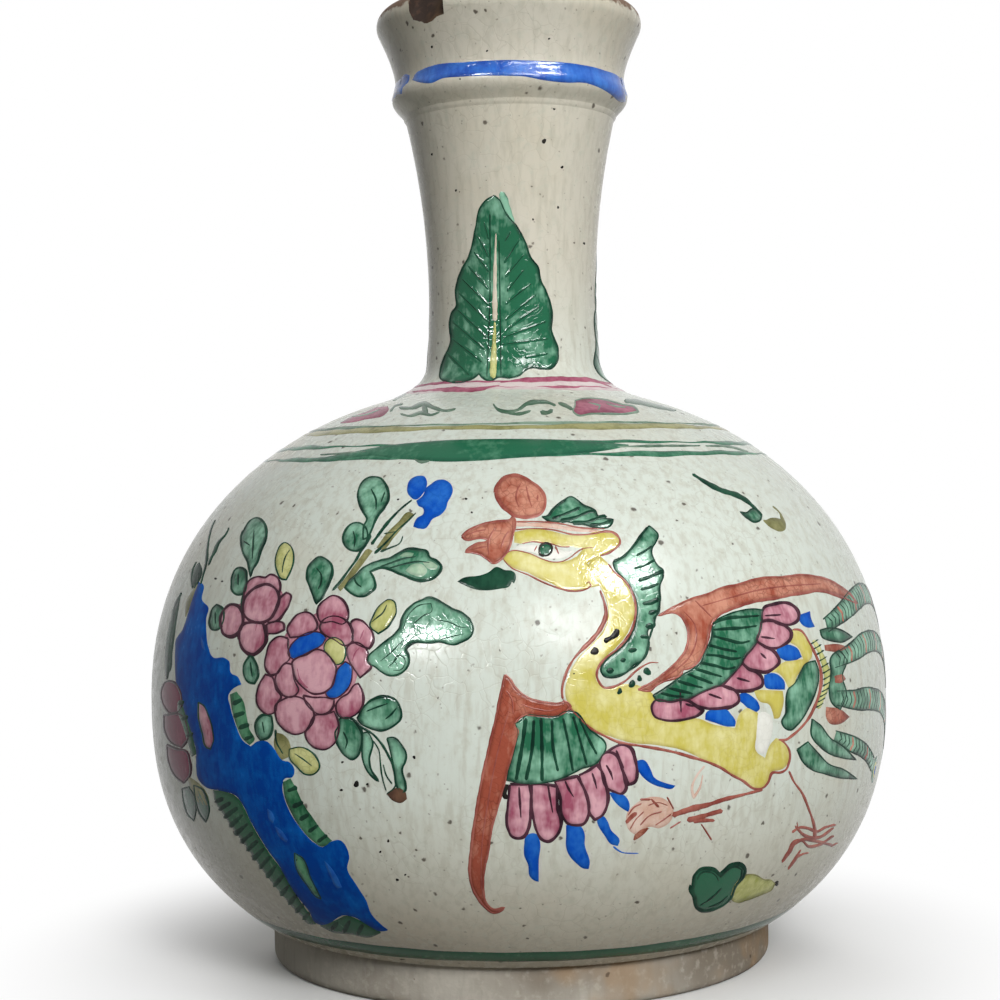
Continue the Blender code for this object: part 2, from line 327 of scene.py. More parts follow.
def make_glaze():
    """The vase's glaze: greenish white on the body, warmer up the neck, bare at the lip's crest."""
    material, tree, shader, place = new_material("cream_glaze", 0.3, GLAZE_GLOSS)
    height = node(tree, "ShaderNodeSeparateXYZ", {0: place}).outputs["Z"]
    clouds = effect_node(tree, CLOUDS, place=place)
    crackle = effect_node(tree, CRACKLE, place=place, cells=230.0, width=0.035)
    specks = effect_node(tree, SPECKS, place=place, cells=260.0, size=0.25, share=0.85)
    dust = effect_node(tree, SPECKS, place=place, cells=600.0, size=0.26, share=0.8)
    # warmer from the shoulder up the neck, and darker and browner towards the foot: a brownish stain with
    # painted shade under the belly
    up = maths(tree, "ADD", height, times(tree, clouds["broad"], 0.03))
    colour = blend(tree, steps_between(tree, up, 0.165, 0.215), BODY_TINT, NECK_TINT)
    colour = tinted(
        tree, colour, (steps_between(tree, up, 0.085, 0.02), 0.85, LOW_STAIN_AND_SHADE),
        (steps_between(tree, clouds["broad"], 0.52, 0.75), 0.45, WARM_CLOUD),
        (steps_between(tree, clouds["streaks"], 0.42, 0.72), 0.42, STREAK),
        (steps_between(tree, clouds["fine"], 0.5, 0.72), 0.42, MOTTLE), (crackle["lines"], 0.22, CRACK),
        (specks["halo"], 0.18, SPECK_HALO), (specks["specks"], 0.85, IRON_SPECK),
        (dust["specks"], 0.5, DUST_SPECK))
    # bare brown clay on the crest of the lip, with a ragged edge
    edge = maths(tree, "ADD", height, times(tree, noise(tree, place, 260.0, 3.0, 0.65), 0.006))
    bare = steps_between(tree, edge, TOP_HEIGHT - 0.9 * MM, TOP_HEIGHT + 0.3 * MM)
    colour = tinted(tree, colour, (bare, 0.9, LIP_CLAY))
    tree.links.new(colour, shader.inputs["Base Color"])
    rough = steps_between(tree, clouds["fine"], 0.3, 0.75, 0.18, 0.34)
    tree.links.new(maths(tree, "ADD", rough, times(tree, bare, 0.4)), shader.inputs["Roughness"])
    relief = maths(tree, "SUBTRACT", clouds["broad"], times(tree, crackle["lines"], 0.12))
    relief = maths(tree, "ADD", relief, times(tree, clouds["fine"], 0.16))
    relief = maths(tree, "SUBTRACT", relief, times(tree, specks["specks"], 0.2))
    bumped(tree, shader, relief, 0.5, 0.4 * MM)
    return material


KILN_STAIN = shown(170, 134, 92)
CLAY_GRIT = shown(72, 54, 42)


def make_clay(name, light, dark, rough):
    """Bare stoneware clay: mottled, with scraped streaks, grit and kiln stains."""
    material, tree, shader, place = new_material(name, rough, CLAY_GLOSS)
    clouds = effect_node(tree, CLOUDS, place=place)
    grit = effect_node(tree, SPECKS, place=place, cells=240.0, size=0.2, share=0.5)
    paler = tuple(min(1, 1.25 * part) for part in light)
    colour = blend(tree, steps_between(tree, clouds["broad"], 0.35, 0.65), light, dark)
    stain = steps_between(tree, noise(tree, place, 38.0, 3.0, 0.6), 0.5, 0.68)
    colour = tinted(tree, colour, (steps_between(tree, clouds["streaks"], 0.45, 0.7), 0.2, dark),
                    (steps_between(tree, clouds["fine"], 0.5, 0.7), 0.35, paler), (stain, 0.45, KILN_STAIN),
                    (grit["specks"], 0.7, CLAY_GRIT))
    tree.links.new(colour, shader.inputs["Base Color"])
    relief = maths(tree, "ADD", clouds["fine"], times(tree, clouds["broad"], 2.0))
    bumped(tree, shader, relief, 0.6, 0.3 * MM)
    return material


GLAZE = make_glaze()
FOOT_CLAY = make_clay("bare_clay", shown(183, 177, 165), shown(129, 119, 105), 0.8)
BREAK_CLAY = make_clay("broken_clay", shown(78, 54, 40), shown(42, 29, 21), 0.9)


# Thrown walls

def open_up(wall):
    """Takes out the edge that joins the two ends of a ring of points."""
    ends = {0, len(wall.data.vertices) - 1}
    bpy.ops.object.mode_set(mode="EDIT")
    bpy.ops.mesh.select_mode(type="EDGE")
    bpy.ops.mesh.select_all(action="DESELECT")
    bpy.ops.object.mode_set(mode="OBJECT")
    for edge in wall.data.edges:
        edge.select = set(edge.vertices) == ends
    bpy.ops.object.mode_set(mode="EDIT")
    bpy.ops.mesh.delete(type="EDGE_FACE")
    bpy.ops.mesh.select_mode(type="VERT")
    bpy.ops.object.mode_set(mode="OBJECT")


def turned(name, outline, closed, material):
    """A wall turned on the wheel: a ring of points is laid along the outline and spun round the axis."""
    bpy.ops.object.select_all(action="DESELECT")
    bpy.ops.mesh.primitive_circle_add(vertices=len(outline), radius=0.1, fill_type="NOTHING")
    wall = bpy.context.object
    wall.name = wall.data.name = name
    for corner, (radius, height) in zip(wall.data.vertices, outline):
        corner.co = (radius, 0, height)
    if not closed:
        open_up(wall)
    bpy.ops.object.mode_set(mode="EDIT")
    bpy.ops.mesh.select_all(action="SELECT")
    bpy.ops.mesh.spin(steps=SPIN_STEPS, angle=2 * pi, center=(0, 0, 0), axis=(0, 0, 1))
    bpy.ops.mesh.select_all(action="SELECT")
    bpy.ops.mesh.remove_doubles(threshold=0.005 * MM)
    bpy.ops.mesh.normals_make_consistent(inside=False)
    bpy.ops.object.mode_set(mode="OBJECT")
    wall.data.materials.append(material)
    bpy.ops.object.shade_smooth_by_angle(angle=SMOOTH_BELOW)
    return wall


def dress(piece, slot, *nodes):
    """Fixes a piece to the vase and hides the frame's solids that it takes the place of. Its slot, the name
    of its finish, is not used.
    """
    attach(piece, "root")
    if nodes:
        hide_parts(*nodes)


def make_foot():
    """The trimmed foot ring, rounded on its outside above and below."""
    inner = FOOT_RADIUS - FOOT_WIDTH
    outline = [(inner + 0.5 * MM, 0), (FOOT_RADIUS - 2.2 * MM, 0)]
    outline += curve(outline[-1], (FOOT_RADIUS - 0.8 * MM, 0), (FOOT_RADIUS, 0.9 * MM),
                     (FOOT_RADIUS, 2.4 * MM), 8)[1:]
    outline += [(FOOT_RADIUS, height * MM) for height in (3.5, 5, 6.5, 8, 9.4)]
    outline += curve(outline[-1], (FOOT_RADIUS, 10.4 * MM), (FOOT_RADIUS - 0.4 * MM, 11.2 * MM),
                     (FOOT_RADIUS - 1.2 * MM, SEAT), 6)[1:]
    outline += [(inner - 1.4 * MM, SEAT), (inner - 1.2 * MM, 8 * MM), (inner - 0.6 * MM, 3 * MM),
                (inner - 0.3 * MM, 0.8 * MM)]
    return turned("foot", outline, True, FOOT_CLAY)


def make_lower_wall():
    """The lower half of the body with its base, which drops into the foot ring."""
    inner_belly, inner_depth = BELLY_RADIUS - BODY_WALL, LOWER_DEPTH - BODY_WALL
    underside, floor = SEAT - 3 * MM, SEAT + 3.2 * MM
    boss = FOOT_RADIUS - FOOT_WIDTH - 1.2 * MM
    heel_height = floor + 4.5 * MM
    drop = (BELLY_HEIGHT - heel_height) / inner_depth
    heel = inner_belly * (1 - drop ** LOWER_POWER) ** (1 / LOWER_POWER)
    inner = [(r, BELLY_HEIGHT - h) for r, h in swell(inner_belly, inner_depth, LOWER_POWER, heel, 30)]
    outline = [(0, floor + 1.2 * MM), (heel / 3, floor + 0.8 * MM), (2 * heel / 3, floor + 0.2 * MM)]
    outline += curve((heel - 9 * MM, floor), (heel - 4 * MM, floor), (heel - 1 * MM, heel_height - 2 * MM),
                     (heel, heel_height), 8) + inner[-2::-1]
    outline += lower_out[::-1]
    outline += curve(lower_out[0], (EDGE_RADIUS - 0.9 * MM, SEAT + 0.3 * MM), (EDGE_RADIUS - 1.3 * MM, SEAT),
                     (EDGE_RADIUS - 2.6 * MM, SEAT), 6)[1:]
    outline += [(boss, SEAT), (boss - 0.6 * MM, underside), (boss / 2, underside + 0.8 * MM),
                (0, underside + 1.2 * MM)]
    return turned("lower_wall", outline, False, GLAZE)


def make_upper_wall():
    """The upper half of the body, up to the round opening of the shoulder."""
    inner = swell(BELLY_RADIUS - BODY_WALL, UPPER_DEPTH - BODY_WALL, UPPER_POWER,
                  ROOT_RADIUS - ROOT_SLANT, 34)
    outline = upper_out + [(r, BELLY_HEIGHT + h) for r, h in inner][::-1]
    return turned("shoulder_wall", outline, True, GLAZE)


def make_neck_wall():
    """The waisted neck, whose slanting root meets the shoulder's wall inside and out."""
    inner = neck_side(ROOT_RADIUS - ROOT_SLANT, COVE_RISE - 2 * MM, NECK_WALL, 24)
    root = inner[0][0]
    share = (1 - (root / (BELLY_RADIUS - BODY_WALL)) ** UPPER_POWER) ** (1 / UPPER_POWER)
    inner[0] = (root, BELLY_HEIGHT + (UPPER_DEPTH - BODY_WALL) * share)
    return turned("neck_wall", neck_out + inner[::-1], True, GLAZE)


def make_collar():
    """The raised collar, which runs out of the neck below and into the mouth above."""
    bore = NECK_TOP_RADIUS - 0.4 * MM
    return turned("collar", collar_out + [(bore, COLLAR_TOP), (bore, COLLAR_LOW + 1.2 * MM)], True, GLAZE)


def make_mouth():
    """The flared mouth with its rolled lip, chipped at the front left."""
    throat = NECK_TOP_RADIUS - NECK_WALL
    inside = curve(lip_out[-1], (lip_out[-1][0], TOP_HEIGHT - LIP_ROLL - 9 * MM),
                   (throat, SEAM_HEIGHT + 9 * MM), (throat, SEAM_HEIGHT), 20)
    outline = mouth_out + lip_out[1:] + inside[1:]
    outline += [(NECK_TOP_RADIUS, SEAM_HEIGHT), (NECK_TOP_RADIUS, COLLAR_TOP)]
    mouth = turned("mouth", outline, True, GLAZE)
    chip_lip(mouth)
    return mouth


# The chip in the lip: where it is, and the lump that is cut away
CHIP_ANGLE = radians(-37)
CHIP_OUT = LIP_RADIUS + 2.2 * MM
CHIP_HEIGHT = lip_centre[1] + 1.6 * MM
CHIP_SIZE = (12.6 * MM, 12.4 * MM, 21 * MM)
CHIP_LEAN = radians(24)
CHIP_SQUARENESS = 0.65
CHIP_JAGS = 0.05


def chip_lip(mouth):
    """Breaks the chip out of the lip with a squarish, jagged lump, which leaves bare clay behind."""
    bpy.ops.object.select_all(action="DESELECT")
    bpy.ops.mesh.primitive_ico_sphere_add(subdivisions=4, radius=0.5)
    lump = bpy.context.object
    for corner in lump.data.vertices:
        x, y, z = corner.co
        chatter = sin(11 * x + 7 * z) * cos(9 * y + 5 * z) + 0.35 * sin(31 * x + 23 * y) * cos(27 * z + 5)
        squarer = 0.5 / max(abs(x), abs(y), abs(z))
        corner.co *= (1 + CHIP_SQUARENESS * (squarer - 1)) * (1 + CHIP_JAGS * chatter)
    lump.data.materials.append(BREAK_CLAY)
    lump.scale = CHIP_SIZE
    lump.rotation_euler = (-CHIP_LEAN, 0, CHIP_ANGLE)
    lump.location = (CHIP_OUT * sin(CHIP_ANGLE), -CHIP_OUT * cos(CHIP_ANGLE), CHIP_HEIGHT)
    bpy.ops.object.select_all(action="DESELECT")
    mouth.select_set(True)
    bpy.context.view_layer.objects.active = mouth
    cut = mouth.modifiers.new("chip", "BOOLEAN")
    cut.object = lump
    cut.solver = "EXACT"
    cut.material_mode = "TRANSFER"
    bpy.ops.object.modifier_apply(modifier="chip")
    bpy.data.objects.remove(lump)
    bpy.ops.object.shade_smooth_by_angle(angle=SMOOTH_BELOW)


dress(make_foot(), "bare_clay", "foot_ring")
for make, section in ((make_lower_wall, "lower_body"), (make_upper_wall, "upper_body"),
                      (make_neck_wall, "neck"), (make_collar, "collar_ring"), (make_mouth, "mouth_rim")):
    dress(make(), "cream_glaze", section)


# Painting over the glaze

WALL_LEANS = np.arctan(np.gradient(WALL_RADII, WALL_HEIGHTS))
REACH_STEPS = 90
HALVINGS = 20

# How enamel is laid: widths and distances are in sheet units, and lifts in millimetres off the glaze
LINE_SPACING = 1.6
SHARP_TURN = radians(70)
GRAIN = 3.0
RING_STEP = 0.9
RING_CLEAR = 0.75
GRID_CLEAR = 1.7
RIM_SLOPE = [0, 0.5, 2.5]
POOL_WIDTH = 6
SUNK = -0.02
BAND_STEPS = 720
# A brush line's section: place across, share of the lift, and nearness to the middle
LINE_SECTION = [(-1, SUNK, 0), (-0.6, 0.75, 0.5), (0, 1, 1), (0.6, 0.75, 0.5), (1, SUNK, 0)]
TINY = 1e-9


def on_wall(angles, heights, lift):
    """Points of the vase's outside at angles from the front and at heights, lifted off the glaze."""
    radius = np.interp(heights, WALL_HEIGHTS, WALL_RADII)
    lean = np.interp(heights, WALL_HEIGHTS, WALL_LEANS)
    out = radius + lift * np.cos(lean)
    return np.stack([out * np.sin(angles), -out * np.cos(angles), heights - lift * np.sin(lean)], 1)


def through_sheet(points):
    """The angle and height at which each sheet point meets the wall, along the line of sight through it."""
    across, down = points[:, 0] - AXIS_COLUMN, points[:, 1] - MIDDLE_ROW
    side = (cos(HEAD_TILT) * across + sin(HEAD_TILT) * down) * SHEET_UNIT
    drop = (cos(HEAD_TILT) * down - sin(HEAD_TILT) * across + MIDDLE_ROW - EYE_ROW) * SHEET_UNIT

    def depth_inside(reach):
        share = 1 - reach / VIEW_DISTANCE
        radius = np.interp(EYE_HEIGHT - drop * share, WALL_HEIGHTS, WALL_RADII)
        return radius ** 2 - (side * share) ** 2 - reach ** 2

    reaches = np.linspace(1.03 * BELLY_RADIUS, 0, REACH_STEPS)
    depths = np.array([depth_inside(reach) for reach in reaches])
    hit = np.where((depths >= 0).any(0), (depths >= 0).argmax(0), depths.argmax(0))
    outer, inner = reaches[np.maximum(hit - 1, 0)], reaches[hit]
    for _ in range(HALVINGS):
        middle = (outer + inner) / 2
        within = depth_inside(middle) >= 0
        outer, inner = np.where(within, outer, middle), np.where(within, middle, inner)
    share = 1 - inner / VIEW_DISTANCE
    return np.arctan2(side * share, inner), EYE_HEIGHT - drop * share


def wall_height(column, row):
    """The height of the wall behind one sheet point."""
    return float(through_sheet(np.array([(column, row)], float))[1][0])


def flowing(points, closed=False, spacing=LINE_SPACING):
    """A smooth line through the given points, in which a sharp turn stays a corner."""
    corners = np.array(points, float)
    before, after = corners - np.roll(corners, 1, 0), np.roll(corners, -1, 0) - corners
    if not closed:
        before[0], after[-1] = after[0], before[-1]
    before_length, after_length = (np.linalg.norm(run, axis=1)[:, None] for run in (before, after))
    before, after = before / before_length, after / after_length
    lean = before * after_length + after * before_length
    lean /= np.linalg.norm(lean, axis=1)[:, None] + TINY
    sharp = (before * after).sum(1)[:, None] < cos(SHARP_TURN)
    arriving, leaving = np.where(sharp, before, lean), np.where(sharp, after, lean)
    line = []
    for first in range(len(corners) - (not closed)):
        second = (first + 1) % len(corners)
        length = after_length[first, 0]
        steps = max(1, round(length / spacing))
        t = np.arange(steps)[:, None] / steps
        line.append((2 * t ** 3 - 3 * t ** 2 + 1) * corners[first]
                    + (t ** 3 - 2 * t ** 2 + t) * length * leaving[first]
                    + (3 * t ** 2 - 2 * t ** 3) * corners[second]
                    + (t ** 3 - t ** 2) * length * arriving[second])
    if not closed:
        line.append(corners[-1:])
    return np.vstack(line)


def within_rim(points, rim):
    """Whether each point lies inside the closed rim, and how far it is from the rim."""
    run = np.roll(rim, -1, 0) - rim
    along = ((points[:, None] - rim) * run).sum(2) / ((run ** 2).sum(1) + 1e-12)
    nearest = rim + np.clip(along, 0, 1)[..., None] * run
    depth = np.linalg.norm(points[:, None] - nearest, axis=2).min(1)
    row, first, last = points[:, 1][:, None], rim[:, 1], rim[:, 1] + run[:, 1]
    crossed = (first > row) != (last > row)
    rise = np.where(last == first, TINY, last - first)
    left_of = points[:, 0][:, None] < rim[:, 0] + (row - first) / rise * run[:, 0]
    return (crossed & left_of).sum(1) % 2 == 1, depth


def net_faces(length, rows):
    """The triangles over a net of points that lie in rows of one length."""
    first = (np.arange(length - 1)[None, :] + length * np.arange(rows - 1)[:, None]).ravel()
    square = np.stack([first, first + 1, first + 1 + length, first + length], 1)
    return np.vstack([square[:, [0, 1, 2]], square[:, [0, 2, 3]]])


class Coat:
    """One colour of enamel: its filled shapes and brush lines, gathered and then laid as one piece.

    All that is drawn is repeated at each of the coat's turns round the vase, which are the front and the back
    where none are given.
    """

    def __init__(self, *turns):
        self.turns = turns or (0.0, pi)
        self.points, self.faces, self.shades, self.edges, self.count = [], [], [], [], 0

    def lay(self, angles, heights, lifts, faces, shade, edge, turns=None):
        for turn in turns or self.turns:
            self.points.append(on_wall(angles + turn, heights, lifts))
            self.faces.append(faces + self.count)
            self.shades.append(np.full(len(angles), shade))
            self.edges.append(edge)
            self.count += len(angles)

    def fill(self, outline, shade=0.5, lift=0.1, grain=GRAIN):
        """Floods a closed outline. The enamel thins to nothing at its rim."""
        rim = flowing(outline, True)
        low, high = rim.min(0), rim.max(0)
        columns, rows = np.meshgrid(np.arange(low[0], high[0], grain), np.arange(low[1], high[1], grain))
        columns[::2] += grain / 2
        grid = np.stack([columns.ravel(), rows.ravel()], 1)
        run = np.roll(rim, -1, 0) - np.roll(rim, 1, 0)
        inward = np.stack([-run[:, 1], run[:, 0]], 1) / (np.linalg.norm(run, axis=1)[:, None] + TINY)
        rings = np.vstack([rim + RING_STEP * inward, rim - RING_STEP * inward])
        ring_in, ring_depth = within_rim(rings, rim)
        grid_in, grid_depth = within_rim(grid, rim)
        inner = np.vstack([rings[ring_in & (ring_depth > RING_CLEAR)],
                           grid[grid_in & (grid_depth > GRID_CLEAR)]])
        corners = [Vector(point) for point in np.vstack([rim, inner])]
        edges = [(index, (index + 1) % len(rim)) for index in range(len(rim))]
        corners, _, faces = delaunay_2d_cdt(corners, edges, [], 1, 1e-5)[:3]
        corners = np.array([tuple(corner) for corner in corners])
        depth = within_rim(corners, rim)[1]
        lifts = np.interp(depth, RIM_SLOPE, [SUNK, 0.7 * lift, lift]) * MM
        self.lay(*through_sheet(corners), lifts, np.array([face[:3] for face in faces]), shade,
                 np.clip(depth / POOL_WIDTH, 0, 1))

    def line(self, points, width, shade=0.5, lift=0.17, closed=False):
        """Draws a brush line of one width, or of a row of widths spread along it, with rounded ends."""
        path = flowing(points, closed)
        if closed:
            path = np.vstack([path, path[:1]])
        along = np.concatenate([[0], np.linalg.norm(np.diff(path, axis=0), axis=1).cumsum()])
        width = np.atleast_1d(np.array(width, float))
        half = 0.5 * np.interp(along / along[-1], np.linspace(0, 1, len(width)), width)
        hand = path[0].sum()
        half *= 1 + 0.13 * np.sin(along / 5.3 + hand) + 0.08 * np.sin(along / 1.9 + 2 * hand)
        if not closed:
            to_end = np.clip(np.minimum(along, along[-1] - along) / half, 0, 1)
            half *= np.sqrt(np.maximum(1 - (1 - to_end) ** 2, 0.002))
        lean = np.gradient(path, axis=0)
        lean /= np.linalg.norm(lean, axis=1)[:, None] + TINY
        side = np.stack([-lean[:, 1], lean[:, 0]], 1) * half[:, None]
        offsets, rises, edges = zip(*LINE_SECTION)
        corners = np.concatenate([path + offset * side for offset in offsets])
        lifts = np.repeat([lift * rise for rise in rises], len(path)) * MM
        self.lay(*through_sheet(corners), lifts, net_faces(len(path), len(offsets)), shade,
                 np.repeat(edges, len(path)))

    def dot(self, column, row, radius, shade=0.5, lift=0.17):
        """Sets a small round blob, pressed slightly out of round."""
        turns = np.arange(9) * 2 * pi / 9
        uneven = 1 + 0.16 * np.sin(2 * turns + column) + 0.1 * np.sin(3 * turns + row)
        rim = [column + radius * uneven * np.cos(turns), row + radius * uneven * np.sin(turns)]
        self.fill(np.stack(rim, 1), shade, lift, grain=max(1.2, radius / 2))

    def band(self, rows, shade=0.5, lift=0.1, wobble=0.25, start=0.0, end=2 * pi):
        """Draws a band once round the vase, between two rows of the sheet that were read off at one column.

        It wobbles by a hand's unevenness, in millimetres.
        """
        column, upper_row, lower_row = rows
        lower, upper = wall_height(column, lower_row), wall_height(column, upper_row)
        steps = round(BAND_STEPS * (end - start) / (2 * pi))
        angles = start + np.arange(steps + 1) * (end - start) / steps
        hand = 1000 * lower
        sway = [np.sin(5 * angles + turn) * 0.5 + np.sin(13 * angles + 2 * turn) * 0.3
                + np.sin(31 * angles) * 0.2 for turn in (hand, hand + 2)]
        low, high = lower + wobble * MM * sway[0], upper + wobble * MM * sway[1]
        section = [(0, SUNK, 0), (0.12, 0.8 * lift, 0.4), (0.5, lift, 1), (0.88, 0.8 * lift, 0.4),
                   (1, SUNK, 0)]
        shares, rises, edges = zip(*section)
        heights = np.concatenate([low + share * (high - low) for share in shares])
        self.lay(np.tile(angles, len(shares)), heights, np.repeat(rises, len(angles)) * MM,
                 net_faces(len(angles), len(shares)), shade, np.repeat(edges, len(angles)), turns=(0.0,))

    def fills(self, outlines, **look):
        """Floods several outlines alike."""
        for outline in outlines:
            self.fill(outline, **look)

    def lines(self, paths, width, **look):
        """Draws several brush lines of one width."""
        for points in paths:
            self.line(points, width, **look)

    def strokes(self, strokes, share=1, **look):
        """Draws several brush lines that each name their own width, of which a share is taken."""
        for points, width in strokes:
            self.line(points, share * np.array(width, float), **look)

    def dots(self, spots, share=1, **look):
        """Sets several dots, with a share of the radius that each names."""
        for column, row, radius in spots:
            self.dot(column, row, share * radius, **look)

    def laid(self, name, material, slot="cream_glaze"):
        """Makes the piece, with its faces turned outward and its shade and edge kept for the material."""
        points, faces = np.concatenate(self.points), np.concatenate(self.faces)
        first, second, third = (points[faces[:, corner]] for corner in range(3))
        facing = np.cross(second - first, third - first)
        inward = (facing[:, :2] * first[:, :2]).sum(1) < 0
        faces[inward] = faces[inward][:, ::-1]
        faces = faces[np.linalg.norm(facing, axis=1) > 1e-14]
        mesh = bpy.data.meshes.new(name)
        mesh.from_pydata(points.tolist(), [], faces.tolist())
        for label, values in (("shade", self.shades), ("edge", self.edges)):
            kept = mesh.attributes.new(label, "FLOAT", "POINT")
            kept.data.foreach_set("value", np.concatenate(values).astype(np.float32))
        mesh.shade_smooth()
        mesh.materials.append(material)
        piece = bpy.data.objects.new(name, mesh)
        bpy.context.collection.objects.link(piece)
        dress(piece, slot)


def make_wash():
    """How enamel lies: deeper and thinner patches, a darker pool beside its rim, and its fine cracks."""
    effect, given, result = new_effect("enamel_wash", ["shade", "edge"], ["depth", "pool", "cracks"])
    cloud = noise(effect, given["place"], 150.0, 3.0, 0.6)
    brush = noise(effect, stretched(effect, given["place"], (1, 1, 0.3)), 700.0, 2.0, 0.6)
    uneven = maths(effect, "ADD", times(effect, maths(effect, "SUBTRACT", cloud, 0.5), 3.0),
                   times(effect, maths(effect, "SUBTRACT", brush, 0.5), 1.3))
    effect.links.new(maths(effect, "ADD", given["shade"], uneven, clamp=True), result["depth"])
    near = steps_between(effect, given["edge"], 0.0, 0.8, 1.0, 0.0)
    effect.links.new(times(effect, near, steps_between(effect, cloud, 0.3, 0.6, 0.35, 1.0)), result["pool"])
    cracks = effect_node(effect, CRACKLE, place=given["place"], cells=520.0, width=0.07)
    effect.links.new(cracks["lines"], result["cracks"])
    return effect


WASH = make_wash()


def enamel(name, thin, full, dark, rim=0.35, cracks=0.3, roughness=0.12, shine=0.12):
    """Glassy enamel that runs from thin to full, darker where it pools at the rim and along its cracks."""
    material, tree, shader, place = new_material(name, roughness, shine)
    shade = node(tree, "ShaderNodeAttribute", attribute_name="shade").outputs["Fac"]
    edge = node(tree, "ShaderNodeAttribute", attribute_name="edge").outputs["Fac"]
    wash = effect_node(tree, WASH, place=place, shade=shade, edge=edge)
    colour = blend(tree, wash["depth"], shown(*thin), shown(*full))
    colour = tinted(tree, colour, (wash["pool"], rim, shown(*dark)), (wash["cracks"], cracks, shown(*dark)))
    tree.links.new(colour, shader.inputs["Base Color"])
    rough = steps_between(tree, wash["depth"], 0.0, 1.0, roughness + 0.08, roughness)
    tree.links.new(rough, shader.inputs["Roughness"])
    bumped(tree, shader, maths(tree, "SUBTRACT", wash["depth"], wash["cracks"]), 0.2, 0.1 * MM)
    return material


# The enamels

DEEP_BLUE = enamel("deep_blue_enamel", (14, 102, 190), (0, 68, 158), (0, 38, 98), 0.3, 0.12, 0.2, 0.02)
BRIGHT_BLUE = enamel("bright_blue_enamel", (44, 114, 200), (10, 80, 186), (8, 38, 98), 0.4, 0.15, 0.15, 0.04)
ROSE = enamel("rose_enamel", (218, 168, 178), (160, 82, 104), (100, 42, 62), 0.55, 0.05)
PALE_ROSE = enamel("pale_rose_enamel", (222, 208, 206), (204, 168, 178), (150, 92, 112), 0.3, 0.15)
DEEP_ROSE = enamel("deep_rose_enamel", (180, 104, 126), (138, 58, 84), (84, 26, 50), 0.4, 0.15, 0.15, 0.06)
PLUM = enamel("plum_line_enamel", (84, 50, 62), (46, 27, 36), (26, 14, 20), 0.3, 0.1, 0.15, 0.05)
BLACK = enamel("black_line_enamel", (52, 48, 44), (22, 22, 20), (10, 10, 9), 0.2, 0.1, 0.15, 0.05)
GREEN = enamel("green_enamel", (142, 194, 166), (24, 100, 68), (6, 40, 30), 0.75, 0.12, 0.08, 0.22)
DEEP_GREEN = enamel("deep_green_enamel", (34, 78, 58), (12, 44, 34), (5, 22, 18), 0.3, 0.1, 0.15, 0.05)
MOSS_GREEN = enamel("moss_enamel", (96, 160, 118), (16, 92, 56), (5, 38, 24), 0.6, 0.12)
BAND_GREEN = enamel("band_green_enamel", (84, 142, 112), (30, 102, 72), (12, 54, 40), 0.5, 0.3)
LEAF_GREEN = enamel("pale_leaf_enamel", (190, 212, 186), (128, 176, 142), (56, 92, 70), 0.5, 0.1)
OLIVE = enamel("olive_enamel", (160, 158, 106), (112, 112, 64), (60, 58, 34), 0.4, 0.25)
BUD_GREEN = enamel("bud_green_enamel", (212, 212, 148), (168, 172, 84), (96, 100, 46), 0.5, 0.25)
YELLOW = enamel("yellow_enamel", (222, 216, 150), (202, 190, 84), (150, 124, 58), 0.4, 0.2, 0.1, 0.3)
IRON_RED = enamel("iron_red_enamel", (204, 144, 121), (158, 78, 58), (100, 44, 33), 0.65, 0.6, 0.12, 0.1)
RED_LINE = enamel("red_line_enamel", (172, 104, 90), (134, 62, 52), (84, 34, 28), 0.3, 0.1)
GREY_GREEN = enamel("grey_green_enamel", (128, 152, 132), (74, 104, 84), (34, 56, 44), 0.3, 0.2)
BURNT_BROWN = enamel("burnt_enamel", (120, 88, 66), (84, 58, 44), (44, 30, 26), 0.3, 0.2)
CREAM = enamel("cream_wash", (216, 206, 188), (196, 184, 162), (140, 126, 106), 0.4, 0.1)
PALE_RED = enamel("pale_red_enamel", (224, 204, 190), (208, 168, 148), (150, 100, 80), 0.3, 0.3)
WHITE = enamel("white_enamel", (238, 238, 230), (226, 226, 216), (160, 158, 150), 0.2, 0.2)
BAND_BLUE = enamel("collar_blue_enamel", (52, 120, 210), (16, 78, 180), (12, 38, 104), 0.4, 0.15, 0.12, 0.3)


# Borders

# Round lines and bands: the column where they were read off, and their upper and lower rows
OLIVE_LINE = (515, 424.5, 429.6)
GREEN_LINES = [(515, 441.5, 445), (515, 453, 457)]
FOOT_LINE = (490, 953.5, 963.5)
ROSE_BAND = (515, 380, 390)
GREY_LINE = (515, 422.6, 424.4)
ROSE_LINES = [(515, 380, 382.5), (515, 386.5, 388)]
COLLAR_BAND = (505, 61.5, 77.5)
# where the collar's band goes on beyond what the front shows
COLLAR_START, COLLAR_END = radians(74), radians(292)

SHOULDER_HOOK = [(393, 401), (400, 396), (408, 391), (415, 388)]
ROSE_STROKES = [
    [(414, 392), (440, 390), (470, 390), (500, 386)], [(500, 383), (530, 380), (565, 379), (596, 382),
    (612, 388)]]
COLLAR_FRONT = [
    (412, 81), (418, 83), (432, 84), (441, 80), (459, 78), (478, 77), (505, 77), (526, 78), (541, 81),
    (566, 84), (585, 84.4), (600, 89.5), (612, 97), (619, 103), (626, 104), (625, 93), (620, 79), (603, 71),
    (576, 65), (541, 62), (505, 61), (466, 63), (434, 66), (425, 69), (416, 74)]
COLLAR_STROKE = [(405, 75), (410, 76), (409, 82), (403, 89), (402, 95), (397, 95), (395, 93), (400, 82)]
BAND_DRIPS = [
    [(320, 455), (352, 453), (390, 451), (414, 451), (438, 449)], [(540, 450), (580, 449), (612, 447)],
    [(617, 447), (660, 446), (700, 446)], [(414, 459), (420, 462), (430, 461)], [(705, 446), (730, 447),
    (748, 452)]]
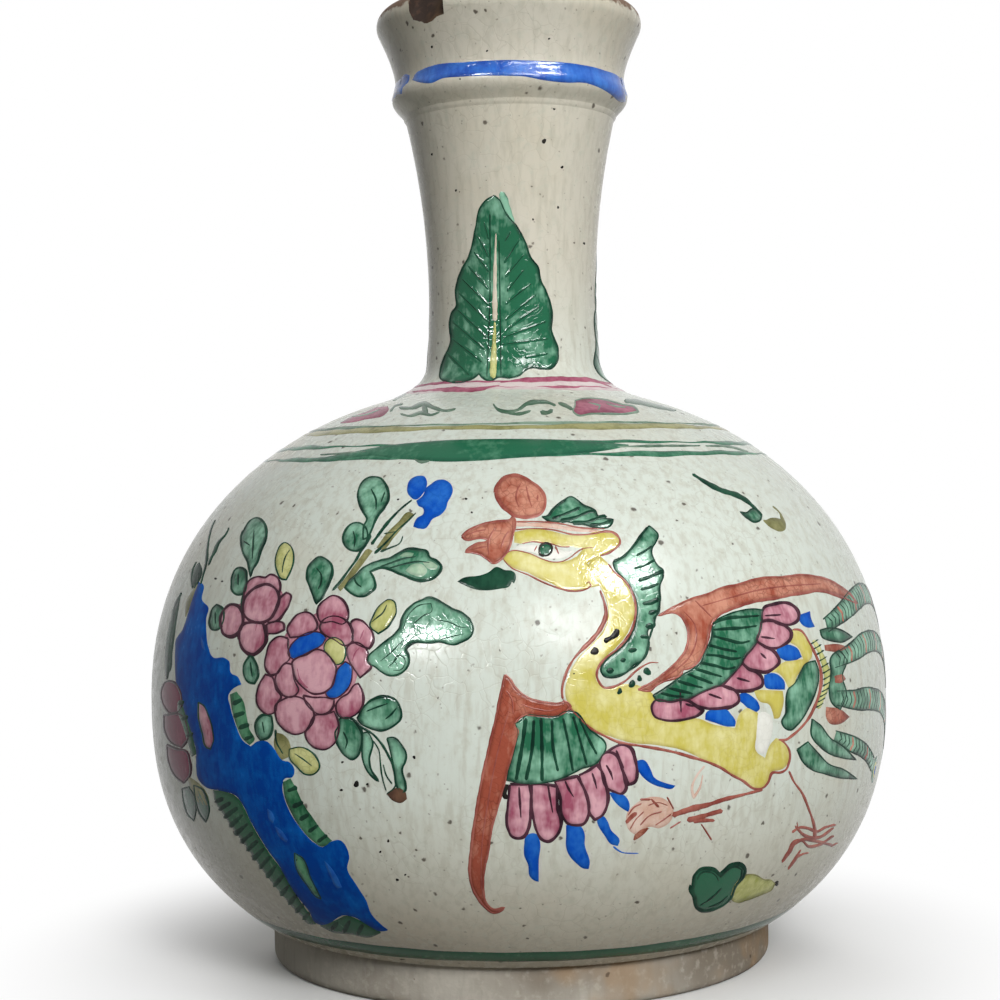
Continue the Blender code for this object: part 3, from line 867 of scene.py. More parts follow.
SHOULDER_FLOWERS = [
    [(337, 424), (351, 417), (365, 412), (377, 407), (388, 406), (389, 410), (386, 414), (365, 420),
    (351, 423)], [(575, 401), (583, 399), (598, 399), (609, 401), (623, 405), (635, 408), (638, 412),
    (626, 414), (608, 414), (591, 414), (577, 415), (573, 411), (575, 406)]]
SHOULDER_SCROLLS = [
    ([(390, 412), (395, 406), (403, 404)], (3, 2)), ([(399, 408), (412, 408), (424, 404), (434, 408),
    (447, 411), (456, 409)], (3, 5, 4, 2)), ([(400, 414), (410, 416), (421, 413), (431, 415), (440, 412)],
    (2, 4, 2)), ([(424, 405), (426, 415)], 5), ([(493, 404), (497, 409), (506, 412), (518, 410), (527, 404),
    (538, 402), (549, 403), (556, 406)], (2, 4, 3, 5, 4, 3)), ([(508, 414), (520, 414), (531, 411)],
    (2, 3.4, 2)), ([(540, 412), (547, 413), (553, 410)], 5), ([(558, 403), (566, 406), (573, 410)],
    (3, 4, 3)), ([(624, 401), (636, 402), (650, 405), (663, 408), (676, 411)], (4, 6, 4, 3))]
SHOULDER_FOLDS = [
    [(588, 403), (600, 406), (598, 411)], [(606, 404), (616, 407), (626, 408)], [(352, 417), (366, 415),
    (380, 410)]]
SHOULDER_BRUSH = [
    (300, 461), (330, 456), (352, 452), (384, 446), (420, 442), (450, 440), (490, 439), (530, 439),
    (570, 440), (600, 442), (632, 445), (616, 449), (590, 453), (560, 456), (520, 458), (480, 461),
    (440, 462), (410, 460), (390, 459), (376, 457), (352, 459), (330, 462)]

NECK_LEAF = [
    (494, 196), (486, 201), (480, 209), (476, 227), (472, 247), (468, 259), (462, 270), (458, 280),
    (456, 290), (456, 308), (452, 313), (450, 323), (451, 342), (444, 359), (441, 368), (441, 379),
    (448, 382), (461, 383), (474, 378), (479, 374), (484, 379), (491, 381), (497, 378), (511, 378),
    (520, 375), (526, 370), (532, 368), (542, 369), (552, 368), (557, 362), (558, 352), (551, 329),
    (552, 317), (550, 304), (546, 292), (540, 280), (538, 268), (530, 257), (526, 245), (516, 226),
    (509, 218), (503, 208), (500, 201)]
NECK_LEAF_RIB = [(496, 234), (495, 280), (495, 322), (494, 350), (493, 379)]
NECK_LEAF_MIDRIB = [[(490, 214), (490, 300), (487, 378)], [(499, 240), (500, 301), (501, 376)]]
NECK_LEAF_TIP = [(501, 192), (504, 200), (508, 211), (514, 224)]
NECK_LEAF_VEINS = [
    [(484, 222), (489, 240)], [(478, 236), (489, 258)], [(474, 252), (489, 272)], [(468, 266), (489, 290)],
    [(462, 279), (489, 306)], [(459, 293), (488, 322)], [(457, 309), (487, 338)], [(453, 322), (485, 350)],
    [(451, 338), (482, 362)], [(446, 352), (470, 376)], [(511, 232), (505, 242)], [(520, 239), (504, 264)],
    [(524, 255), (505, 278)], [(524, 270), (507, 292)], [(531, 284), (505, 305)], [(536, 295), (505, 321)],
    [(540, 306), (504, 332)], [(548, 339), (501, 345)], [(548, 354), (524, 358)], [(546, 322), (503, 338)]]


def paint_borders():
    olive = Coat()
    olive.band(OLIVE_LINE, shade=0.1, wobble=0.4)
    olive.laid("olive_line", OLIVE)
    green = Coat()
    for rows in GREEN_LINES:
        green.band(rows, shade=0.75, wobble=0.5)
    green.fill(SHOULDER_BRUSH, shade=0.9, lift=0.15)
    green.laid("green_bands", BAND_GREEN)
    foot_line = Coat()
    foot_line.band(FOOT_LINE, shade=1.4, wobble=0.25)
    foot_line.laid("foot_line", MOSS_GREEN)
    rose = Coat()
    rose.band(ROSE_BAND, shade=0.05, wobble=0.3)
    rose.laid("rose_band", PALE_ROSE)
    grey = Coat()
    grey.band(GREY_LINE, shade=0.3, lift=0.15, wobble=0.3)
    grey.line(SHOULDER_HOOK, (2, 6, 3), shade=0.4, lift=0.15)
    grey.laid("shoulder_lines", GREY_GREEN)
    flowers = Coat()
    flowers.band(ROSE_LINES[0], shade=0.5, lift=0.15, wobble=0.4)
    flowers.band(ROSE_LINES[1], shade=0.2, lift=0.15, wobble=0.5)
    flowers.line(ROSE_STROKES[0], (2, 4, 5, 2), shade=0.3)
    flowers.line(ROSE_STROKES[1], (2, 5, 4, 5, 2), shade=0.4)
    flowers.fills(SHOULDER_FLOWERS, shade=0.6, lift=0.12)
    flowers.laid("shoulder_flowers", DEEP_ROSE)
    scrolls = Coat()
    scrolls.strokes(SHOULDER_SCROLLS, shade=0.9, lift=0.14)
    scrolls.lines(BAND_DRIPS, (1.5, 3, 1.5), shade=0.6, lift=0.14)
    scrolls.line(SHOULDER_FLOWERS[1], (1.5, 2.6, 1.5), shade=0.5, closed=True, lift=0.16)
    scrolls.lines(SHOULDER_FOLDS, (1.5, 3, 1.5), shade=0.6, lift=0.16)
    scrolls.laid("shoulder_scrolls", GREY_GREEN)
    collar = Coat(0)
    collar.fill(COLLAR_FRONT, shade=0.55, lift=0.16, grain=2.4)
    collar.fill(COLLAR_STROKE, shade=0.6, lift=0.16, grain=2.4)
    collar.band(COLLAR_BAND, shade=0.5, lift=0.16, wobble=0.5, start=COLLAR_START, end=COLLAR_END)
    collar.laid("collar_band", BAND_BLUE, "blue_enamel")


def paint_neck_leaves():
    leaf, veins, rib, bare = (Coat(0, radians(120), radians(240)) for _ in range(4))
    leaf.fill(NECK_LEAF, shade=1.0, lift=0.1)
    leaf.lines(NECK_LEAF_VEINS, (3, 7.5, 5), shade=1.7, lift=0.14)
    leaf.line(NECK_LEAF_TIP, (5, 9, 6, 2), shade=0.1, lift=0.06)
    veins.line(NECK_LEAF, (1.6, 2.6, 1.8, 2.4, 1.6), closed=True, lift=0.18)
    veins.lines(NECK_LEAF_VEINS, (0.8, 1.8, 1), lift=0.19)
    veins.lines(NECK_LEAF_MIDRIB, 1.8, lift=0.19)
    rib.line(NECK_LEAF_RIB[2:], (2, 7, 9), shade=0.3, lift=0.22)
    bare.line(NECK_LEAF_RIB[:3], (1.5, 5, 7), shade=0.3, lift=0.2)
    leaf.laid("neck_leaves", GREEN)
    veins.laid("neck_leaf_veins", DEEP_GREEN)
    rib.laid("neck_leaf_ribs", BUD_GREEN)
    bare.laid("neck_leaf_gaps", CREAM)


# The blue rock

ROCK = [
    (198, 582), (202, 584), (202, 601), (208, 608), (206, 618), (206, 634), (208, 648), (213, 658),
    (223, 658), (228, 661), (231, 674), (237, 677), (241, 685), (232, 690), (228, 696), (230, 708),
    (236, 728), (243, 742), (250, 747), (257, 742), (266, 742), (274, 750), (282, 761), (289, 763),
    (294, 770), (292, 778), (284, 780), (282, 788), (284, 799), (290, 814), (300, 829), (314, 844),
    (322, 848), (330, 843), (339, 841), (347, 850), (349, 858), (347, 869), (356, 886), (366, 902),
    (371, 915), (380, 925), (389, 932), (380, 933), (366, 926), (354, 919), (344, 917), (322, 927),
    (314, 924), (309, 914), (298, 900), (288, 885), (277, 865), (268, 853), (258, 837), (250, 823),
    (243, 808), (235, 797), (220, 792), (206, 789), (197, 780), (195, 768), (195, 752), (191, 736),
    (185, 718), (180, 700), (175, 684), (174, 668), (174, 650), (175, 640), (181, 631), (187, 614),
    (192, 597)]
ROCK_HOLE = [
    (198, 703), (203, 706), (208, 716), (212, 730), (213, 742), (210, 750), (206, 748), (202, 735),
    (198, 718)]
ROCK_MOSS_HOLE = [
    (294, 854), (300, 857), (311, 880), (321, 900), (316, 898), (308, 888), (295, 866)]
ROCK_LEFT_MOSS = [
    (212, 791), (222, 792), (236, 798), (244, 810), (251, 825), (259, 839), (269, 855), (279, 868),
    (290, 887), (300, 903), (310, 917), (316, 926), (308, 926), (300, 917), (290, 907), (280, 895),
    (268, 880), (255, 862), (243, 845), (232, 830), (222, 815), (213, 800)]
ROCK_LIGHTS = [
    [(266, 808), (271, 811), (275, 820), (273, 826), (268, 821)], [(273, 825), (281, 830), (289, 841),
    (286, 845), (278, 838)], [(322, 859), (328, 864), (337, 876), (343, 889), (338, 890), (329, 877)],
    [(200, 634), (204, 642), (206, 652), (203, 651), (200, 643)]]
ROCK_MIDDLE_MOSS = [
    (229, 695), (236, 692), (243, 702), (246, 716), (249, 730), (254, 741), (249, 746), (243, 741),
    (236, 727), (231, 710)]
ROCK_RIGHT_MOSS = [
    (282, 783), (290, 779), (296, 790), (303, 805), (312, 818), (322, 832), (332, 842), (322, 848),
    (312, 842), (300, 829), (290, 813), (284, 798)]
ROCK_EDGE_MOSS = [
    (178, 698), (184, 712), (189, 726), (193, 742), (196, 755), (191, 758), (186, 742), (181, 726),
    (176, 710)]
ROCK_TOE_MOSS = [
    (318, 927), (334, 922), (346, 917), (358, 921), (370, 928), (382, 934), (370, 939), (350, 936),
    (332, 934)]
ROCK_MOSS_HATCHES = [
    [(214, 803), (224, 799)], [(218, 811), (231, 803)], [(223, 819), (238, 808)], [(229, 828), (243, 815)],
    [(234, 836), (248, 824)], [(240, 844), (253, 833)], [(246, 852), (258, 841)], [(252, 861), (264, 849)],
    [(259, 870), (270, 857)], [(266, 879), (276, 866)], [(273, 888), (283, 876)], [(280, 897), (289, 886)],
    [(288, 906), (296, 896)], [(295, 914), (303, 905)], [(302, 921), (309, 914)], [(232, 705), (242, 700)],
    [(233, 717), (245, 713)], [(238, 729), (249, 725)], [(244, 740), (253, 737)], [(287, 792), (297, 788)],
    [(292, 808), (303, 803)], [(299, 821), (309, 815)], [(308, 833), (318, 826)], [(317, 843), (327, 836)],
    [(177, 705), (184, 702)], [(180, 720), (188, 717)], [(185, 737), (193, 734)], [(330, 932), (338, 923)],
    [(343, 934), (350, 921)], [(357, 936), (363, 925)]]
ROCK_MOSS_DOTS = [(297, 861, 2.2), (303, 874, 2.4), (311, 888, 1.6)]


def paint_rock():
    rock, lights, moss, pit, marks = (Coat() for _ in range(5))
    rock.fill(ROCK, shade=0.75, lift=0.12)
    lights.fills(ROCK_LIGHTS, shade=0.1, lift=0.17)
    for patch, shade in ((ROCK_LEFT_MOSS, 1.3), (ROCK_MIDDLE_MOSS, 0.6), (ROCK_RIGHT_MOSS, 0.6),
                         (ROCK_EDGE_MOSS, 1.2), (ROCK_TOE_MOSS, 1.3)):
        moss.fill(patch, shade=shade, lift=0.15)
    moss.fill(ROCK_MOSS_HOLE, shade=0.1, lift=0.17)
    pit.fill(ROCK_HOLE, shade=0.4, lift=0.16)
    marks.lines(ROCK_MOSS_HATCHES, (8, 5.5), shade=0.5, lift=0.22)
    marks.dots(ROCK_MOSS_DOTS, lift=0.2)
    marks.line(ROCK_HOLE, 2.2, closed=True, lift=0.2)
    marks.line(ROCK_MOSS_HOLE, 1.8, closed=True, lift=0.2)
    rock.laid("rock", DEEP_BLUE, "blue_enamel")
    lights.laid("rock_lights", BRIGHT_BLUE, "blue_enamel")
    moss.laid("rock_moss", MOSS_GREEN)
    pit.laid("rock_pit", ROSE)
    marks.laid("rock_marks", DEEP_GREEN)


# The peonies, their leaves and the branch on the left

SMALL_FLOWER_DARK = [
    [(243, 613), (243, 603), (249, 593), (258, 587), (267, 585), (275, 589), (279, 598), (276, 609),
    (270, 619), (262, 623), (252, 622), (246, 618)], [(221, 628), (220, 618), (224, 610), (231, 605),
    (238, 607), (242, 614), (242, 625), (238, 633), (230, 637), (223, 634)], [(239, 640), (239, 632),
    (243, 625), (252, 623), (262, 624), (265, 632), (265, 643), (260, 650), (252, 655), (245, 652)]]
SMALL_FLOWER_PALE = [
    [(243, 600), (245, 588), (250, 580), (258, 577), (265, 578), (270, 575), (277, 578), (280, 586),
    (279, 594), (268, 584), (256, 587), (247, 595)], [(279, 600), (286, 593), (290, 595), (289, 604),
    (284, 613), (277, 621), (270, 623), (266, 622), (271, 618), (277, 609)], [(266, 625), (275, 622),
    (283, 624), (284, 630), (275, 634), (267, 634)]]
PEONY_PETALS = [
    [(318, 618), (318, 608), (325, 600), (333, 596), (342, 600), (347, 608), (348, 618), (344, 624),
    (332, 622), (320, 622)], [(320, 630), (322, 622), (330, 617), (338, 617), (347, 622), (352, 632),
    (352, 642), (346, 646), (334, 640), (322, 633)], [(287, 630), (291, 622), (299, 614), (308, 613),
    (315, 619), (317, 628), (312, 633), (300, 637), (290, 638)], [(288, 639), (279, 637), (271, 642),
    (266, 655), (265, 668), (270, 676), (277, 674), (283, 665), (289, 660), (288, 648)], [(292, 665),
    (286, 664), (279, 670), (275, 680), (278, 690), (285, 697), (293, 697), (298, 692), (294, 680)],
    [(256, 697), (259, 685), (265, 675), (272, 678), (276, 690), (281, 697), (277, 704), (275, 712),
    (268, 715), (261, 711), (257, 705)], [(275, 714), (275, 706), (283, 700), (293, 697), (302, 699),
    (309, 705), (314, 715), (311, 726), (303, 733), (295, 735), (285, 731), (277, 722)], [(303, 696),
    (313, 698), (325, 698), (334, 700), (333, 707), (328, 713), (320, 715), (312, 711), (306, 704)],
    [(305, 735), (309, 726), (315, 716), (325, 715), (334, 712), (338, 722), (338, 735), (334, 744),
    (325, 750), (314, 748), (307, 741)], [(336, 705), (340, 699), (348, 694), (355, 685), (358, 684),
    (361, 689), (363, 697), (362, 707), (358, 713), (352, 717), (346, 719), (340, 717)], [(351, 623),
    (355, 620), (361, 621), (368, 627), (373, 635), (373, 642), (369, 649), (362, 647), (352, 640),
    (353, 632)], [(348, 646), (356, 643), (368, 655), (367, 660), (371, 667), (366, 673), (360, 678),
    (350, 663), (347, 655)]]
PEONY_HEART = [
    (293, 670), (292, 663), (298, 658), (307, 655), (315, 650), (324, 652), (332, 660), (336, 668),
    (334, 680), (329, 690), (321, 694), (312, 694), (303, 688), (296, 680)]
PEONY_BLUE = [
    [(288, 655), (290, 647), (296, 640), (305, 634), (314, 632), (322, 634), (326, 638), (322, 645),
    (312, 651), (293, 660)], [(345, 662), (351, 666), (352, 675), (349, 687), (342, 695), (334, 699),
    (327, 697), (325, 692), (331, 688), (338, 669)]]
PEONY_BUD = [
    (324, 650), (326, 642), (333, 638), (340, 640), (345, 648), (345, 657), (342, 663), (336, 665),
    (330, 658)]
PEONY_GROUND = [
    (286, 633), (302, 623), (318, 612), (333, 607), (345, 619), (359, 635), (361, 651), (359, 668),
    (354, 688), (349, 707), (335, 716), (333, 733), (316, 737), (302, 725), (285, 719), (269, 704),
    (269, 686), (276, 668), (276, 651), (282, 640)]
SMALL_FLOWER_GROUND = [
    (226, 612), (244, 600), (256, 584), (274, 584), (284, 598), (272, 622), (262, 646), (246, 646),
    (240, 628)]
PEONY_HEART_SHADE = [(297, 668), (300, 680), (308, 689)]
PETAL_VEINS = [[(258, 619), (255, 632)], [(352, 662), (356, 652), (360, 648)], [(360, 640), (364, 630)]]
LEFT_EDGE_PETALS = [
    [(161, 690), (166, 682), (173, 683), (179, 691), (181, 702), (178, 712), (170, 714), (163, 706)],
    [(163, 716), (181, 716), (186, 726), (187, 740), (181, 748), (171, 744), (164, 732)], [(166, 746),
    (176, 750), (185, 752), (189, 763), (189, 776), (183, 784), (175, 778), (168, 764)]]
LEFT_EDGE_LEAVES = [
    [(181, 790), (188, 788), (193, 796), (195, 808), (193, 822), (187, 816), (183, 804)], [(193, 786),
    (201, 790), (206, 800), (208, 813), (205, 823), (199, 815), (195, 802)]]

LONG_LEAF = [
    (354, 577), (365, 567), (380, 561), (389, 559), (401, 552), (409, 549), (419, 550), (427, 552),
    (429, 557), (436, 561), (441, 567), (439, 573), (432, 579), (422, 581), (402, 575), (380, 568),
    (370, 572), (374, 580), (375, 587), (370, 593), (360, 597), (352, 594), (345, 588), (350, 580)]
LONG_LEAF_BELLIES = [
    [(404, 571), (412, 564), (424, 565), (428, 571), (424, 577), (412, 576)], [(397, 557), (406, 552),
    (415, 553), (413, 557), (404, 558)], [(421, 562), (431, 561), (439, 566), (437, 571), (428, 570)]]
BIG_LEAF = [
    (368, 659), (379, 647), (394, 635), (399, 629), (402, 619), (406, 612), (413, 605), (421, 601),
    (430, 598), (440, 602), (452, 609), (463, 614), (471, 622), (473, 628), (471, 636), (464, 641),
    (452, 645), (441, 642), (428, 643), (415, 643), (409, 646), (406, 650), (408, 655), (409, 662),
    (406, 669), (400, 674), (391, 676), (381, 672), (375, 667), (368, 663)]
BIG_LEAF_FOLDS = [
    [(414, 624), (421, 618), (428, 613)], [(435, 620), (450, 623), (463, 628), (470, 627)], [(440, 640),
    (452, 637), (465, 634)], [(380, 662), (390, 654), (400, 644), (410, 634)], [(388, 668), (396, 660),
    (402, 652)], [(403, 630), (409, 615), (419, 606), (431, 604), (432, 611), (423, 617)], [(393, 671),
    (401, 670), (405, 664), (404, 658), (398, 656), (394, 661), (398, 666)]]
GREEN_LEAVES = [
    [(357, 719), (365, 706), (371, 701), (378, 698), (383, 697), (390, 698), (396, 701), (399, 706),
    (401, 712), (400, 720), (395, 725), (382, 731), (369, 728), (362, 725)], [(339, 720), (345, 718),
    (351, 719), (357, 725), (361, 732), (360, 750), (357, 757), (352, 760), (346, 757), (340, 750),
    (336, 741), (335, 733), (338, 727)], [(251, 520), (257, 518), (262, 521), (266, 534), (264, 543),
    (260, 552), (257, 562), (252, 571), (250, 577), (247, 561), (243, 553), (241, 545), (241, 536),
    (245, 528)], [(235, 570), (240, 568), (245, 571), (246, 577), (242, 594), (237, 595), (232, 591),
    (231, 583), (232, 576)], [(212, 609), (216, 605), (221, 608), (221, 626), (217, 630), (212, 630),
    (209, 624), (210, 616)], [(320, 557), (325, 559), (331, 565), (332, 573), (330, 580), (325, 592),
    (321, 599), (316, 604), (310, 588), (307, 578), (308, 568), (313, 561)], [(366, 479), (374, 477),
    (381, 479), (385, 484), (388, 500), (384, 508), (379, 514), (375, 521), (372, 529), (367, 538),
    (363, 540), (364, 526), (367, 519), (363, 512), (358, 493), (360, 486)], [(358, 523), (364, 526),
    (363, 548), (357, 551), (350, 550), (345, 546), (343, 538), (346, 530), (352, 524)], [(243, 668),
    (250, 655), (256, 665), (258, 675), (254, 684), (249, 683)], [(256, 735), (256, 722), (262, 716),
    (271, 717), (272, 728), (268, 738), (260, 741)]]
LEAF_VEINS = [
    [(397, 708), (391, 715), (385, 720)], [(343, 732), (347, 742), (345, 750)], [(254, 530), (253, 545),
    (252, 560)], [(243, 541), (250, 546)], [(316, 568), (321, 575), (321, 583), (318, 590)], [(371, 489),
    (376, 500), (376, 511)], [(385, 492), (381, 503)], [(353, 531), (355, 540), (354, 548)], [(238, 574),
    (238, 586)], [(215, 612), (215, 625)], [(366, 712), (376, 708), (388, 704)], [(250, 662), (252, 678)],
    [(262, 722), (264, 734)], [(354, 577), (356, 583), (362, 588)], [(380, 567), (392, 563), (404, 559),
    (416, 557)], [(388, 569), (402, 565), (418, 562), (430, 563)]]
PALE_LEAVES = [
    [(362, 734), (366, 733), (372, 741), (369, 760), (370, 768), (378, 782), (369, 774), (364, 765),
    (362, 755), (362, 745)], [(387, 739), (392, 738), (403, 748), (406, 755), (405, 762), (402, 769),
    (405, 784), (405, 791), (400, 795), (396, 784), (394, 770), (391, 755)]]
BURNT_TIP = [(386, 795), (393, 790), (399, 788), (405, 792), (407, 800), (401, 804), (393, 802)]
OPEN_BUDS = [
    [(388, 600), (394, 602), (396, 608), (396, 613), (392, 621), (387, 628), (378, 634), (370, 626),
    (373, 617), (377, 609), (383, 603)], [(284, 543), (290, 546), (293, 553), (293, 563), (290, 572),
    (286, 580), (281, 579), (277, 572), (275, 563), (277, 552), (280, 546)], [(289, 750), (300, 748),
    (310, 752), (317, 760), (319, 768), (313, 775), (305, 775), (297, 768), (289, 758)]]
BUD_VEINS = [
    [(387, 605), (383, 613), (376, 619), (371, 623)], [(290, 550), (286, 556), (283, 566), (282, 574)],
    [(294, 754), (303, 760), (312, 767)]]
STEMS = [
    ([(354, 720), (358, 725), (374, 736), (381, 744), (387, 754), (392, 765), (395, 778), (396, 788)], 2.4),
    ([(332, 591), (340, 582), (348, 571), (356, 560), (361, 551), (367, 543), (371, 535)], 2.6), ([(244, 590),
    (242, 598), (241, 606), (242, 612)], 2), ([(275, 730), (276, 742), (283, 755)], 2.4), ([(373, 741),
    (379, 752), (380, 762), (381, 772), (383, 782), (386, 792)], 1.5), ([(383, 765), (386, 776), (392, 785)],
    1.5), ([(386, 795), (393, 790), (396, 785)], 1.5), ([(412, 500), (402, 508), (391, 519), (371, 545)],
    (1.6, 3, 3.4)), ([(416, 513), (409, 520), (397, 531), (384, 545), (374, 554)], (1.4, 2.4, 3)),
    ([(396, 532), (384, 534)], 1.6), ([(403, 536), (400, 543), (390, 548), (380, 552)], (1.2, 2.2)),
    ([(215, 520), (212, 526), (207, 548), (206, 561), (202, 578), (200, 585)], (1.2, 3.2, 1.6)), ([(229, 528),
    (225, 535), (218, 543), (214, 552), (210, 560), (208, 566)], (1.5, 3.8, 2.4)), ([(196, 562), (192, 570),
    (191, 578), (192, 589)], (1.5, 2.4, 1.6)), ([(198, 573), (197, 584)], 1.8), ([(181, 593), (178, 598),
    (174, 607), (172, 620), (168, 650), (166, 680)], (2, 5, 5.5, 4))]
OLIVE_WASHES = [
    [(337, 588), (345, 578), (353, 567), (361, 556), (368, 549), (373, 551), (358, 571), (349, 583),
    (340, 592)], [(376, 548), (386, 534), (398, 522), (409, 512), (414, 514), (404, 526), (394, 538),
    (382, 550)], [(186, 600), (192, 590), (198, 582), (196, 594), (190, 606), (184, 622)], [(276, 733),
    (284, 736), (290, 746), (289, 757), (281, 761), (275, 752), (273, 742)], [(186, 776), (195, 782),
    (206, 794), (208, 806), (201, 812), (189, 790)]]
LEFT_BLADES = [
    [(181, 593), (178, 610), (175, 630), (172, 652), (168, 674), (164, 677), (164, 652), (168, 626),
    (174, 605)], [(199, 562), (202, 570), (195, 590), (191, 586), (192, 574), (195, 566)]]
BLUE_FLOWER = [
    [(417, 476), (409, 481), (407, 487), (407, 492), (410, 497), (415, 500), (423, 494), (427, 481),
    (425, 477)], [(431, 484), (435, 481), (445, 480), (450, 483), (453, 490), (451, 497), (448, 502),
    (446, 509), (441, 515), (432, 520), (429, 525), (425, 529), (419, 529), (413, 527), (414, 523),
    (417, 518), (423, 514), (423, 509), (418, 506), (416, 501), (423, 495), (426, 488)]]
PAINT_SPECKS = [
    (342, 763, 1.6), (356, 785, 3.4), (341, 791, 1.8), (414, 758, 2), (367, 785, 1.6), (388, 842, 1.8),
    (380, 853, 1.6), (397, 881, 1.8), (405, 876, 1.4), (393, 661, 2.2), (443, 635, 2), (369, 586, 1.8),
    (398, 499.6, 1.4), (466, 499, 1.6), (471.7, 512.6, 1.4), (215, 579, 1.6), (221.7, 581.7, 1.4),
    (544, 142, 2.8), (562, 168, 1.8), (456, 191, 1.5), (558, 208, 1.6), (533, 220, 1.4), (584, 244, 1.6),
    (432, 155, 1.5), (432, 48, 1.6), (487, 52, 1.4), (549, 40, 1.4), (554, 110, 1.6), (460, 80, 1.2)]


def paint_flowers():
    petals, deep, blue, outlines = (Coat() for _ in range(4))
    petals.fills(PEONY_PETALS + SMALL_FLOWER_PALE, shade=0.45, lift=0.1)
    petals.fills(SMALL_FLOWER_DARK, shade=0.4, lift=0.12)
    petals.fills((PEONY_GROUND, SMALL_FLOWER_GROUND), shade=0.6, lift=0.06)
    petals.fill(PEONY_HEART, shade=0.2, lift=0.12)
    deep.line(PEONY_HEART_SHADE, (3, 8, 3), shade=0.1, lift=0.13)
    deep.fills(LEFT_EDGE_PETALS, shade=1.3, lift=0.11)
    deep.lines(PETAL_VEINS, (0.8, 2.4, 1), shade=0.4, lift=0.14)
    blue.fills(PEONY_BLUE + BLUE_FLOWER, shade=0.6, lift=0.13)
    outlines.lines(PEONY_PETALS + SMALL_FLOWER_PALE, (2.8, 2, 3, 1.8, 2.8), closed=True)
    outlines.lines(SMALL_FLOWER_DARK, (4.6, 3.6, 4.8, 3.4), closed=True)
    outlines.lines(LEFT_EDGE_PETALS, 2.8, closed=True)
    outlines.line(PEONY_HEART, 2.6, closed=True)
    outlines.lines(PEONY_BLUE, 1.8, closed=True)
    petals.laid("petals", ROSE)
    deep.laid("petal_hearts", DEEP_ROSE)
    blue.laid("blue_petals", BRIGHT_BLUE, "blue_enamel")
    outlines.laid("petal_outlines", PLUM)


def paint_leaves():
    leaves, veins, buds, pale, olive, burnt, specks = (Coat() for _ in range(7))
    leaves.fills(GREEN_LEAVES, shade=0.5)
    leaves.fills(LEFT_EDGE_LEAVES, shade=1.2)
    leaves.fill(LONG_LEAF, shade=0.6)
    leaves.fill(BIG_LEAF, shade=0.35, lift=0.16)
    leaves.fills(PALE_LEAVES, shade=0.15)
    veins.lines(GREEN_LEAVES + LEFT_EDGE_LEAVES, (2, 3.4, 2.2, 3, 2), closed=True, lift=0.15)
    veins.line(LONG_LEAF, (2.2, 3.4, 2.4), closed=True, lift=0.15)
    veins.line(BIG_LEAF, (2, 3, 2.2, 2.8, 2), closed=True, lift=0.2)
    veins.lines(BIG_LEAF_FOLDS, (1, 2, 0.8), lift=0.22)
    veins.lines(LEAF_VEINS, (2, 3, 1.4), lift=0.17)
    veins.fills(LEFT_BLADES, shade=0.3, lift=0.13)
    veins.strokes(STEMS, lift=0.16)
    veins.lines(OPEN_BUDS + [PEONY_BUD], (1.4, 2.2, 1.4), closed=True, lift=0.16)
    veins.lines(BUD_VEINS, (1.6, 2.4, 1.2), lift=0.17)
    veins.lines(PALE_LEAVES, (1.6, 2.8, 1.8), closed=True, lift=0.14)
    buds.fills(OPEN_BUDS + [PEONY_BUD], shade=0.4, lift=0.12)
    pale.fills(LONG_LEAF_BELLIES, shade=0.2, lift=0.14)
    olive.fills(OLIVE_WASHES, shade=0.4)
    burnt.fill(BURNT_TIP, shade=0.6, lift=0.14)
    specks.dots(PAINT_SPECKS, share=0.95, lift=0.07)
    burnt.laid("burnt_leaf_tip", BURNT_BROWN)
    leaves.laid("leaves", GREEN)
    veins.laid("leaf_veins", DEEP_GREEN)
    buds.laid("buds", BUD_GREEN)
    pale.laid("pale_leaves", LEAF_GREEN)
    olive.laid("olive_washes", OLIVE)
    specks.laid("kiln_specks", BLACK)


# The phoenix

HEAD_BAND = [
    (514, 532), (532, 529), (551, 531), (568, 535), (581, 535), (606, 531), (613, 533), (619, 538),
    (618, 546), (611, 551), (590, 562), (580, 568), (574, 560), (583, 549), (570, 547), (561, 547),
    (551, 544), (532, 542), (522, 544), (514, 543)]
JAW_BAND = [
    (504, 556), (509, 552), (527, 553), (544, 560), (551, 562), (561, 562), (570, 560), (580, 556),
    (588, 564), (600, 586), (580, 590), (570, 591), (561, 589), (552, 584), (537, 578), (528, 573),
    (518, 570), (509, 566), (503, 559)]
EYE_WHITE = [
    (516, 547), (528, 545), (541, 546), (560, 550), (574, 551), (566, 557), (556, 559), (545, 558),
    (534, 553), (522, 551), (514, 551)]
PUPIL = (546, 551, 2.8)
EYE_GLINT = (543, 547.5, 1.3)
EYE = [(539, 554), (540, 547), (544, 544), (550, 545), (552, 550), (549, 555), (544, 556)]
COMB = [
    (496, 493), (500, 482), (505, 478), (513, 476), (521, 477), (529, 481), (536, 486), (542, 492),
    (545, 504), (540, 514), (535, 516), (520, 517), (515, 516), (509, 512), (499, 501)]
COMB_LINES = [
    [(521, 484), (518, 489), (516, 498), (519, 508)], [(526, 486), (529, 499), (532, 508)], [(537, 501),
    (538, 495)]]
BEAK = [
    (462, 537), (467, 532), (474, 528), (484, 524), (503, 521), (510, 520), (513, 516), (515, 520),
    (512, 537), (508, 551), (500, 560), (494, 563), (486, 558), (479, 554), (471, 552), (466, 552),
    (470, 548), (477, 544), (487, 542), (490, 540), (482, 538), (464, 539)]
BEAK_LINES = [
    [(513, 520), (512, 537), (510, 545), (505, 555), (502, 559)], [(496, 527), (490, 537), (488, 547),
    (489, 556)], [(509, 531), (504, 539), (501, 549)], [(466, 536), (476, 532), (486, 530)], [(472, 550),
    (480, 548), (487, 547)]]
